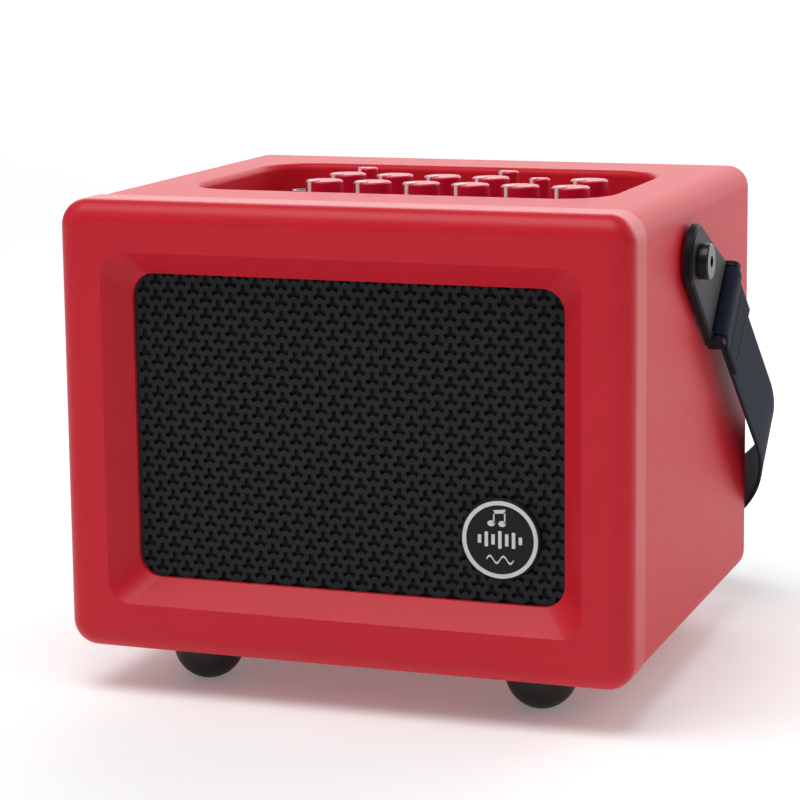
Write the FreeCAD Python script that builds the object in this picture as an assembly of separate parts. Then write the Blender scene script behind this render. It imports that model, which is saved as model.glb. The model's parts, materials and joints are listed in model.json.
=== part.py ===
import FreeCAD, Part
import math
import os
from FreeCAD import Rotation, Vector

# Portable guitar amplifier, millimetres.
# The pieces are laid out from the middle of the front face's lower edge: X to the right,
# Y from the front face to the back, Z up from the cabinet's underside. save() then sets them
# down with the feet on Z = 0 and the origin under the middle of the whole object.

# ---------------------------------------------------------------- cabinet
CABINET_WIDTH = 258.0
CABINET_HEIGHT = 200.0
CABINET_DEPTH = 228.0
WALL = 4.0                      # moulded wall of bezel and shell
BEZEL_DEPTH = 24.0              # front face to parting line
BEZEL_CORNER = 12.0             # corner radius of the bezel seen from the front
BEZEL_EDGE = 9.5                # rounding of the bezel's front edge
SEAM_GAP = 0.8                  # open line between bezel and shell
SHELL_INSET = 1.0               # the bezel stands this much proud of the shell all round
SHELL_EDGE = 10.0               # rounding of the shell's long edges
SHELL_BACK_EDGE = 8.0           # rounding of the shell's back edges
TONGUE_LENGTH = 4.0             # lip of the shell inside the bezel
TONGUE_WALL = 2.0
FIT = 0.2                       # clearance of moulded parts that fit into each other

# ---------------------------------------------------------------- front opening and grille
BAND_WIDTH = 22.0               # flat band above and below the bevel
SIDE_BAND_WIDTH = 21.0          # flat band left and right of the bevel
BEVEL_RUN = 10.3                # width of the bevel seen from the front
BEVEL_DEPTH = 11.0              # depth of the bevel
LIP_DEPTH = 2.0                 # straight lip between the bevel and the grille
OPENING_CORNER = 10.0
GRILLE_OVERLAP = 4.0            # the grille reaches this far behind the lip
GRILLE_THICKNESS = 2.0
LAND_WIDTH = 12.0               # ledge round the grille that takes the baffle
BADGE_RADIUS = 17.8
BADGE_THICKNESS = 2.2
BADGE_EDGE = 0.8
BADGE_FROM_RIGHT = 28.3         # badge centre to the opening's right edge
BADGE_FROM_BOTTOM = 28.0        # badge centre to the opening's lower edge

# ---------------------------------------------------------------- loudspeaker
BAFFLE_THICKNESS = 6.5
SPEAKER_RADIUS = 65.0
SPEAKER_HOLE_RADIUS = 57.0
FLANGE_THICKNESS = 2.0
BASKET_DEPTH = 40.0
BASKET_WALL = 2.0
BASKET_BACK_RADIUS = 40.0
CONE_RADIUS = 47.0
CONE_NECK_RADIUS = 13.4
CONE_DEPTH = 22.0
CONE_WALL = 0.8
COIL_RADIUS = 12.6              # inside of the voice coil
COIL_WALL = 0.8
COIL_LENGTH = 22.0
COIL_GAP = 0.5                  # magnetic gap each side of the coil
MAGNET_RADIUS = 42.0
MAGNET_THICKNESS = 13.0
PLATE_THICKNESS = 4.0
SPIDER_RADIUS = 30.0
SPIDER_THICKNESS = 0.8
SPIDER_WAVE = 1.2               # height of its corrugations
SPIDER_ROLLS = 4
SPIDER_FOOT = 4.0               # width of the ring glued to the basket
SPIDER_SPACE = 5.0              # from the basket's back to the spider
CONE_SET_BACK = 2.0             # cone's front edge behind the baffle
SURROUND_LAND = 1.0             # flat rim each side of the rubber roll
CONE_LIP = 2.0                  # bevelled ends of the cone's wall
BASKET_MOUTH = 4.0              # opening in the basket's back, beyond the coil
BASKET_WINDOWS = 6
WINDOW_WIDTH = 28.0
WINDOW_MARGIN = 8.0             # metal left before and behind a window
WINDOW_INNER = 10.0             # windows start this far inside the basket's back ring
PLATE_INSET = 6.0               # plates are smaller than the ferrite ring
RING_PLAY = 8.0                 # ferrite ring clear of the coil
CAP_RADIUS = 8.0                # crown of the dust cap
CAP_HEIGHT = 6.0
CAP_SHOULDER = 4.6
CAP_EDGE = 1.0
BASKET_SCREW_INSET = 3.6

# ---------------------------------------------------------------- control well
WELL_WIDTH = 194.0
WELL_LENGTH = 118.0
WELL_FROM_FRONT = 66.0
WELL_CORNER = 24.0
WELL_DEPTH = 15.0
WELL_LIP = 3.0                  # rounding of the well's rim
SKIRT_WALL = 4.0
PANEL_THICKNESS = 3.0
PANEL_BOSS_RADIUS = 4.5
PANEL_SCREW_OUT = 3.5           # panel screws beyond the skirt
PANEL_SCREW_IN = 4.0            # and short of the well's rounded corners
PANEL_MARGIN = 14.0             # control panel reaches this far beyond the well
KNOB_PITCH = 23.1               # one column to the next
KNOB_COLUMN_1 = -37.5           # X of the left column
KNOB_ROWS = (88.5, 118.5, 145.5)    # front, middle and back row from the front face
KNOB_RADIUS = 8.5
SLIM_KNOB_RADIUS = 4.8
KNOB_ABOVE_TOP = 2.0            # knobs stand this much above the cabinet's top
KNOB_CHAMFER = 0.6
KNOB_FLOAT = 1.0                # gap under a knob
POINTER_WIDTH = 1.5
POINTER_PROUD = 0.35
POINTER_REACH = 0.65            # towards the middle, in knob radii
POINTER_ANGLE = -30.0           # from straight ahead, towards the left: the seven o'clock stop
SHAFT_RADIUS = 3.0
SHAFT_FLAT = 2.3                # from the axis to the flat
SHAFT_IN_KNOB = 11.0
SHAFT_HOLE_RADIUS = 3.6
POT_SIZE = 10.0
POT_HEIGHT = 9.0
POT_BELOW_PANEL = 0.5
POT_RUNNING_FIT = 0.05
POT_FLOOR = 1.7                 # closed bottom under a shaft
POT_END_PLAY = 0.3
BOARD_THICKNESS = 1.6
BOARD_MARGIN = 12.0             # control board beyond the outer shafts
BOARD_POST_RADIUS = 3.5
JACK_X = -72.0
JACK_ROWS = (116.0, 148.0)
JACK_BORE_RADIUS = 3.2
JACK_BUSH_RADIUS = 4.7
JACK_BUSH_ABOVE = 6.0
JACK_BODY_SIZE = 16.0
JACK_BODY_LENGTH = 28.0
JACK_BORE_LENGTH = 24.0
NUT_RADIUS = 7.2
NUT_THICKNESS = 3.0
NUT_CHAMFER = 0.6

# ---------------------------------------------------------------- screws and feet
RECESS_REACH = 1.2              # driver recess, across, in head radii
RECESS_SLOT = 0.25              # width of its slots, in head radii
M3_SHANK = 1.5
M3_HEAD = 2.8
M3_HEAD_HEIGHT = 2.2
M3_LENGTH = 12.0
M4_SHANK = 2.0
M4_HEAD = 3.6
M4_HEAD_HEIGHT = 2.8
M4_LENGTH = 8.0
SCREW_CLEARANCE = 0.2
POST_RADIUS = 6.0
POST_WELL_RADIUS = 3.5
POST_SEAT = 5.0                 # plastic under the head of a case screw
POST_INSET = 11.0               # case screw axis from the cabinet's sides
BEZEL_BOSS_RADIUS = 5.0
BEZEL_BOSS_ROOT = 1.0           # the bosses start this deep in the bezel's front wall
FOOT_RADIUS = 16.0
FOOT_HEIGHT = 20.0              # below the cabinet's underside
FOOT_FLAT = 5.0                 # radius of the flat that stands on the ground
FOOT_X = 78.5
FOOT_FRONT_Y = 41.5
FOOT_FROM_BACK = 32.0

# ---------------------------------------------------------------- electronics
BATTERY_WIDTH = 116.0
BATTERY_DEPTH = 58.0
BATTERY_HEIGHT = 38.0
BATTERY_FROM_BACK = 14.0
BATTERY_EDGE = 3.0
TRAY_WALL = 2.0
TRAY_HEIGHT = 12.0
AMP_BOARD_WIDTH = 100.0
AMP_BOARD_DEPTH = 44.0
AMP_BOARD_Y = 116.0
AMP_POST_HEIGHT = 13.0
AMP_POST_RADIUS = 3.5
AMP_SCREW_INSET = 5.0
SINK_WIDTH = 60.0
SINK_DEPTH = 24.0
SINK_HEIGHT = 26.0
SINK_FINS = 7
SINK_BASE = 4.0
REAR_PANEL_WIDTH = 150.0
REAR_PANEL_HEIGHT = 66.0
REAR_PANEL_Z = 118.0
REAR_PANEL_THICKNESS = 3.0
REAR_LEDGE = 11.0
REAR_LEDGE_THICKNESS = 6.0
ROCKER_X = -42.0
ROCKER_WIDTH = 13.0
ROCKER_HEIGHT = 20.0
ROCKER_PLAY = 0.5
ROCKER_END_PLAY = 0.6
ROCKER_PROUD = 2.0              # pressed half of the paddle above the panel
ROCKER_RAISED = 4.4             # raised half above the panel
ROCKER_ROOT = 7.0               # depth of the paddle at its pivot
FLANGE_PROUD = 1.5              # flanges of switch and socket
FLANGE_REACH = 1.5
SWITCH_WALL = 1.6
SWITCH_DEPTH = 18.0
SOCKET_X = 42.0
SOCKET_RADIUS = 6.0
SOCKET_BORE_RADIUS = 2.8
SOCKET_PIN_RADIUS = 1.0
SOCKET_BORE_LENGTH = 11.0
SOCKET_PIN_LENGTH = 8.5
PIN_ROOT = 0.5
SOCKET_DEPTH = 16.0

# ---------------------------------------------------------------- carrying strap
PIVOT_Y = 101.0                 # strap bolts from the front face
PIVOT_BELOW_TOP = 31.0
BOSS_PROUD = 1.3                # pad on the shell's side that the hanger turns on
BOSS_RADIUS = 11.0
HANGER_GAP = 0.3
HANGER_THICKNESS = 4.0
HANGER_EYE_RADIUS = 16.5
HANGER_REACH = 49.0             # bolt to webbing bar
HANGER_LEAN = 14.3              # the hanger lies this many degrees above the webbing's line
HANGER_RIM = 1.0
HANGER_SIDE = 2.75              # arm beside the webbing
HANGER_CORNER = 5.0
ARM_RADIUS = 3.6                # round end of an arm, about the bar
MOUTH_LENGTH = 8.0              # the opening for the webbing, each side of the bar
SHOULDER_RADIUS = 4.0
SHOULDER_FIT = 0.05
BOLT_HEAD_RADIUS = 8.0
BOLT_HEAD_HEIGHT = 4.5
BOLT_HEAD_EDGE = 0.8
BOLT_HEX = 5.0                  # across the flats
BOLT_HEX_DEPTH = 2.7
BOLT_SHANK_RADIUS = 3.0
BOLT_SHANK_LENGTH = 10.0
INSERT_RADIUS = 4.5
INSERT_SUNK = 2.0               # insert below the pad's face
INSERT_BOSS_RADIUS = 8.0
BAR_RADIUS = 2.5
BAR_STAND_OFF = 7.0             # bar axis from the shell's side
BAR_FIT = 0.1
WEBBING_WIDTH = 38.0
WEBBING_SIDE_PLAY = 0.8
WEBBING_THICKNESS = 1.8
STITCHED_LENGTH = 28.0
STRAP_ABOVE_GROUND = 8.6        # lowest point of the webbing when the strap hangs behind the cabinet
STRAP_SPREAD = 3.5              # degrees by which each side leans outwards
STRAP_CORNER_RADIUS = 96.0
STRAP_CORNER_HEADING = 60.0     # heading at which the corner meets the wide back curve
STEEPEST_FALL = 80.0            # degrees, where the search for the strap's fall starts
FALL_HALVINGS = 40
STRAP_CORNER_AHEAD = 25.5       # the corner starts this far in front of the cabinet's back

# ---------------------------------------------------------------- places worked out from the sizes
HALF_WIDTH = CABINET_WIDTH / 2
MIDDLE_Z = CABINET_HEIGHT / 2
BACK_Y = CABINET_DEPTH
SHELL_FRONT_Y = BEZEL_DEPTH + SEAM_GAP
SHELL_SIDE = HALF_WIDTH - SHELL_INSET
SHELL_FLOOR = SHELL_INSET + WALL
SHELL_TOP = CABINET_HEIGHT - SHELL_INSET
BEVEL_WIDTH = CABINET_WIDTH - 2 * SIDE_BAND_WIDTH
BEVEL_HEIGHT = CABINET_HEIGHT - 2 * BAND_WIDTH
OPENING_WIDTH = BEVEL_WIDTH - 2 * BEVEL_RUN
OPENING_HEIGHT = BEVEL_HEIGHT - 2 * BEVEL_RUN
GRILLE_Y = BEVEL_DEPTH + LIP_DEPTH
BAFFLE_Y = GRILLE_Y + GRILLE_THICKNESS
BAFFLE_BACK_Y = BAFFLE_Y + BAFFLE_THICKNESS
GRILLE_WIDTH = OPENING_WIDTH + 2 * GRILLE_OVERLAP
GRILLE_HEIGHT = OPENING_HEIGHT + 2 * GRILLE_OVERLAP
LAND_OUTER_WIDTH = GRILLE_WIDTH + 2 * LAND_WIDTH
LAND_OUTER_HEIGHT = GRILLE_HEIGHT + 2 * LAND_WIDTH
WELL_MIDDLE_Y = WELL_FROM_FRONT + WELL_LENGTH / 2
PANEL_TOP = SHELL_TOP - WELL_DEPTH
PANEL_BOTTOM = PANEL_TOP - PANEL_THICKNESS
KNOB_BOTTOM = PANEL_TOP + KNOB_FLOAT
KNOB_TOP = CABINET_HEIGHT + KNOB_ABOVE_TOP
POT_TOP = PANEL_BOTTOM - POT_BELOW_PANEL
BOARD_TOP = POT_TOP - POT_HEIGHT
PIVOT_Z = CABINET_HEIGHT - PIVOT_BELOW_TOP
HANGER_X = SHELL_SIDE + BOSS_PROUD + HANGER_GAP
BAR_X = SHELL_SIDE + BAR_STAND_OFF
FOOT_ROWS = (FOOT_FRONT_Y, BACK_Y - FOOT_FROM_BACK)
FOOT_PLACES = [(side * FOOT_X, y) for side in (-1, 1) for y in FOOT_ROWS]
POST_PLACES = [
    (side * (HALF_WIDTH - POST_INSET), z)
    for side in (-1, 1)
    for z in (POST_INSET, CABINET_HEIGHT - POST_INSET)
]

# Knobs: name, column, row, radius. Column 5 of the middle row and the back row are slim.
KNOBS = [("front_%d" % c, c, 1, KNOB_RADIUS) for c in range(1, 7)]
KNOBS += [("middle_%d" % c, c, 2, SLIM_KNOB_RADIUS if c == 5 else KNOB_RADIUS) for c in range(1, 7)]
KNOBS += [("back_%d" % c, c, 3, SLIM_KNOB_RADIUS) for c in (1, 4)]

# The strap is made in its own plane: X across, S from the bolts along the fall, V up across the webbing.
LEAN = math.radians(HANGER_LEAN)
BAR_S = HANGER_REACH * math.cos(LEAN)
BAR_V = HANGER_REACH * math.sin(LEAN)
SPREAD = math.radians(STRAP_SPREAD)
HEADING = math.radians(STRAP_CORNER_HEADING)


def strap_curve(fall):
    """Start of the corner, and radius, centre and far end of the back curve, for one angle of fall."""
    corner_s = (BACK_Y - STRAP_CORNER_AHEAD - PIVOT_Y - BAR_V * math.sin(fall)) / math.cos(fall)
    corner_x = BAR_X + (corner_s - BAR_S) * math.tan(SPREAD)
    centre_x = corner_x - STRAP_CORNER_RADIUS * math.cos(SPREAD)
    centre_s = corner_s + STRAP_CORNER_RADIUS * math.sin(SPREAD)
    back_radius = centre_x / math.cos(HEADING) + STRAP_CORNER_RADIUS
    back_s = centre_s - (back_radius - STRAP_CORNER_RADIUS) * math.sin(HEADING)
    return centre_x, centre_s, back_radius, back_s, back_s + back_radius


def height_above_ground(fall):
    """Lowest point of the webbing, measured from the flats of the feet."""
    end_s = strap_curve(fall)[-1] + WEBBING_THICKNESS / 2
    drop = end_s * math.sin(fall) + (WEBBING_WIDTH / 2 - BAR_V) * math.cos(fall)
    return PIVOT_Z + FOOT_HEIGHT - drop


def fall_above_ground(steepest, flattest):
    """Angle of fall, by halving, at which the webbing hangs STRAP_ABOVE_GROUND above the ground."""
    for _ in range(FALL_HALVINGS):
        middle = (steepest + flattest) / 2
        if height_above_ground(middle) < STRAP_ABOVE_GROUND:
            steepest = middle
        else:
            flattest = middle
    return (steepest + flattest) / 2


# angle below level at which the webbing leaves the hanger
STRAP_FALL = fall_above_ground(math.radians(STEEPEST_FALL), 0)
CORNER_CENTRE_X, CORNER_CENTRE_S, BACK_CURVE_RADIUS, BACK_CENTRE_S, STRAP_END_S = strap_curve(STRAP_FALL)
STRAP_BACK_Y = (
    PIVOT_Y
    + (STRAP_END_S + WEBBING_THICKNESS / 2) * math.cos(STRAP_FALL)
    + (BAR_V + WEBBING_WIDTH / 2) * math.sin(STRAP_FALL)
)
INSERT_START = Vector(SHELL_SIDE + BOSS_PROUD - INSERT_SUNK - BOLT_SHANK_LENGTH, PIVOT_Y, PIVOT_Z)
SET_DOWN = Vector(0, -STRAP_BACK_Y / 2, FOOT_HEIGHT)

X_AXIS = Vector(1, 0, 0)
Y_AXIS = Vector(0, 1, 0)
Z_AXIS = Vector(0, 0, 1)


# ---------------------------------------------------------------- helpers
def save(name, shape):
    """Sets a piece down in the part's own frame and writes it."""
    shape = shape.copy()
    shape.translate(SET_DOWN)
    for solid in shape.Solids:
        if not solid.isValid():
            print("not valid:", name)
    shape.exportStep("parts/%s.step" % name)
    print("%-28s solids %2d  volume %10.1f" % (name, len(shape.Solids), shape.Volume))


def box(x, y, z):
    """A box between pairs of coordinates."""
    return Part.makeBox(x[1] - x[0], y[1] - y[0], z[1] - z[0], Vector(x[0], y[0], z[0]))


def rod(radius, start, direction, length):
    return Part.makeCylinder(radius, length, start, direction)


def rounded_wire(width, height, radius):
    """A rounded rectangle about the origin, in the XY plane."""
    a = width / 2
    b = height / 2
    k = radius * (1 - math.sqrt(0.5))
    r = radius
    return Part.Wire([
        Part.makeLine(Vector(-a + r, -b, 0), Vector(a - r, -b, 0)),
        Part.Arc(Vector(a - r, -b, 0), Vector(a - k, -b + k, 0), Vector(a, -b + r, 0)).toShape(),
        Part.makeLine(Vector(a, -b + r, 0), Vector(a, b - r, 0)),
        Part.Arc(Vector(a, b - r, 0), Vector(a - k, b - k, 0), Vector(a - r, b, 0)).toShape(),
        Part.makeLine(Vector(a - r, b, 0), Vector(-a + r, b, 0)),
        Part.Arc(Vector(-a + r, b, 0), Vector(-a + k, b - k, 0), Vector(-a, b - r, 0)).toShape(),
        Part.makeLine(Vector(-a, b - r, 0), Vector(-a, -b + r, 0)),
        Part.Arc(Vector(-a, -b + r, 0), Vector(-a + k, -b + k, 0), Vector(-a + r, -b, 0)).toShape(),
    ])


def front_wire(width, height, radius, y):
    """The same rectangle facing the front, at a depth, about the cabinet's middle height."""
    wire = rounded_wire(width, height, radius)
    wire.rotate(Vector(0, 0, 0), X_AXIS, 90)
    wire.translate(Vector(0, y, MIDDLE_Z))
    return wire


def front_block(width, height, radius, y):
    """A rounded block that faces the front, between two depths."""
    face = Part.Face(front_wire(width, height, radius, y[0]))
    return face.extrude(Vector(0, y[1] - y[0], 0))


def flat_block(width, length, radius, middle, z):
    """A rounded block that lies flat, between two heights."""
    wire = rounded_wire(width, length, radius)
    wire.translate(Vector(middle[0], middle[1], z[0]))
    return Part.Face(wire).extrude(Vector(0, 0, z[1] - z[0]))


def turned(points, centre=Vector(0, 0, MIDDLE_Z)):
    """A solid turned about the speaker's axis, from (radius, depth) points."""
    corners = [Vector(r, y, 0) for r, y in points]
    face = Part.Face(Part.makePolygon(corners + corners[:1]))
    solid = face.revolve(Vector(0, 0, 0), Y_AXIS, 360)
    solid.translate(centre)
    return solid


def edges_in_plane(shape, axis, value):
    """Edges that lie wholly in one plane."""
    low = axis + "Min"
    high = axis + "Max"
    found = []
    for edge in shape.Edges:
        bounds = edge.BoundBox
        if abs(getattr(bounds, low) - value) < 1e-3 and abs(getattr(bounds, high) - value) < 1e-3:
            found.append(edge)
    return found


def screw(shank, head, head_height, length, seat, direction):
    """A pan-head screw: seat is under the head, direction runs along the shank."""
    direction = Vector(direction)
    direction.normalize()
    body = rod(shank, seat, direction, length)
    top = rod(head, seat - direction * head_height, direction, head_height)
    reach = head * RECESS_REACH / 2
    slot = head * RECESS_SLOT / 2
    cross = box((-reach, reach), (-slot, slot), (0, head_height / 2))
    cross = cross.fuse(box((-slot, slot), (-reach, reach), (0, head_height / 2)))
    turn = Rotation(Z_AXIS, direction)
    cross.rotate(Vector(0, 0, 0), turn.Axis, math.degrees(turn.Angle))
    cross.translate(seat - direction * head_height)
    return body.fuse(top).cut(cross)


def m3_screw(seat, direction):
    return screw(M3_SHANK, M3_HEAD, M3_HEAD_HEIGHT, M3_LENGTH, seat, direction)


def m4_screw(seat, direction):
    return screw(M4_SHANK, M4_HEAD, M4_HEAD_HEIGHT, M4_LENGTH, seat, direction)


def hexagon_corners(radius):
    """Corners of a hexagon about the origin, the first one repeated at the end."""
    angles = [math.radians(60 * i) for i in range(7)]
    return [(radius * math.cos(angle), radius * math.sin(angle)) for angle in angles]


def fused(first, *others):
    return first.multiFuse(list(others)).removeSplitter()


def on_both_sides(shape):
    """The right-hand piece and its mirror image."""
    return [shape, shape.mirror(Vector(0, 0, 0), X_AXIS)]


# ---------------------------------------------------------------- screw places
def four_corners(half_a, half_b):
    return [(a * half_a, b * half_b) for a in (-1, 1) for b in (-1, 1)]


BAFFLE_CORNERS = four_corners((LAND_OUTER_WIDTH - LAND_WIDTH) / 2, (LAND_OUTER_HEIGHT - LAND_WIDTH) / 2)
BAFFLE_SCREWS = [Vector(x, BAFFLE_BACK_Y, MIDDLE_Z + z) for x, z in BAFFLE_CORNERS]
CASE_SCREWS = [Vector(x, SHELL_FRONT_Y + POST_SEAT, z) for x, z in POST_PLACES]
PANEL_SCREW_X = WELL_WIDTH / 2 + SKIRT_WALL + PANEL_SCREW_OUT
PANEL_SCREW_Y = WELL_LENGTH / 2 - WELL_CORNER - PANEL_SCREW_IN
PANEL_CORNERS = four_corners(PANEL_SCREW_X, PANEL_SCREW_Y)
PANEL_SCREWS = [Vector(x, WELL_MIDDLE_Y + y, PANEL_BOTTOM) for x, y in PANEL_CORNERS]
BOARD_LEFT = KNOB_COLUMN_1 - BOARD_MARGIN
BOARD_RIGHT = KNOB_COLUMN_1 + 5 * KNOB_PITCH + BOARD_MARGIN
BOARD_FRONT = KNOB_ROWS[0] - BOARD_MARGIN
BOARD_BACK = KNOB_ROWS[2] + BOARD_MARGIN
BOARD_SCREW_COLUMNS = [KNOB_COLUMN_1 + (column + 0.5) * KNOB_PITCH for column in (0, 4)]
BOARD_SCREW_ROWS = [(KNOB_ROWS[row] + KNOB_ROWS[row + 1]) / 2 for row in (0, 1)]
BOARD_BOTTOM = BOARD_TOP - BOARD_THICKNESS
BOARD_SCREWS = [Vector(x, y, BOARD_BOTTOM) for x in BOARD_SCREW_COLUMNS for y in BOARD_SCREW_ROWS]
AMP_BOARD_Z = SHELL_FLOOR + AMP_POST_HEIGHT
AMP_CORNERS = four_corners(AMP_BOARD_WIDTH / 2 - AMP_SCREW_INSET, AMP_BOARD_DEPTH / 2 - AMP_SCREW_INSET)
AMP_SCREWS = [Vector(x, AMP_BOARD_Y + y, AMP_BOARD_Z + BOARD_THICKNESS) for x, y in AMP_CORNERS]
REAR_CORNERS = four_corners((REAR_PANEL_WIDTH - REAR_LEDGE) / 2, (REAR_PANEL_HEIGHT - REAR_LEDGE) / 2)
REAR_SCREWS = [Vector(x, BACK_Y, REAR_PANEL_Z + z) for x, z in REAR_CORNERS]
SPEAKER_SCREW_RADIUS = SPEAKER_RADIUS - BASKET_SCREW_INSET
SPEAKER_SCREWS = [
    Vector(
        SPEAKER_SCREW_RADIUS * math.cos(math.radians(45 + 90 * i)),
        BAFFLE_BACK_Y + FLANGE_THICKNESS,
        MIDDLE_Z + SPEAKER_SCREW_RADIUS * math.sin(math.radians(45 + 90 * i)),
    )
    for i in range(4)
]
FOOT_SCREWS = [Vector(x, y, SHELL_FLOOR) for x, y in FOOT_PLACES]


# ---------------------------------------------------------------- cabinet pieces
def front_bezel():
    body = front_block(CABINET_WIDTH, CABINET_HEIGHT, BEZEL_CORNER, (0, BEZEL_DEPTH))
    body = body.makeFillet(BEZEL_EDGE, edges_in_plane(body, "Y", 0))
    bevel = Part.makeLoft([
        front_wire(BEVEL_WIDTH, BEVEL_HEIGHT, OPENING_CORNER, 0),
        front_wire(OPENING_WIDTH, OPENING_HEIGHT, OPENING_CORNER, BEVEL_DEPTH),
    ], True, True)
    opening = front_block(OPENING_WIDTH, OPENING_HEIGHT, OPENING_CORNER, (BEVEL_DEPTH, BEZEL_DEPTH))
    seat_corner = OPENING_CORNER + GRILLE_OVERLAP
    seat = front_block(GRILLE_WIDTH + 2 * FIT, GRILLE_HEIGHT + 2 * FIT, seat_corner, (GRILLE_Y, BEZEL_DEPTH))
    inside_width = CABINET_WIDTH - 2 * WALL
    inside_height = CABINET_HEIGHT - 2 * WALL
    hollow = front_block(inside_width, inside_height, BEZEL_CORNER - WALL, (BEZEL_EDGE, BEZEL_DEPTH))
    land = front_block(LAND_OUTER_WIDTH, LAND_OUTER_HEIGHT, OPENING_CORNER, (0, BAFFLE_Y))
    hollow = hollow.cut(land)
    boss_y = BEZEL_EDGE - BEZEL_BOSS_ROOT
    boss_length = BEZEL_DEPTH - boss_y
    bosses = [rod(BEZEL_BOSS_RADIUS, Vector(x, boss_y, z), Y_AXIS, boss_length) for x, z in POST_PLACES]
    body = body.cut(hollow).cut(bevel).cut(opening).cut(seat)
    body = fused(body, *bosses)
    pilots = [rod(M3_SHANK, place, -Y_AXIS, M3_LENGTH) for place in CASE_SCREWS + BAFFLE_SCREWS]
    return body.cut(Part.makeCompound(pilots))


def well_opening(z):
    return flat_block(WELL_WIDTH, WELL_LENGTH, WELL_CORNER, (0, WELL_MIDDLE_Y), z)


def in_well(place):
    """Whether a place lies inside the well's outline, its edge included."""
    across = abs(place.x) < WELL_WIDTH / 2 + FIT
    return across and abs(place.y - WELL_MIDDLE_Y) < WELL_LENGTH / 2 + FIT


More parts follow.
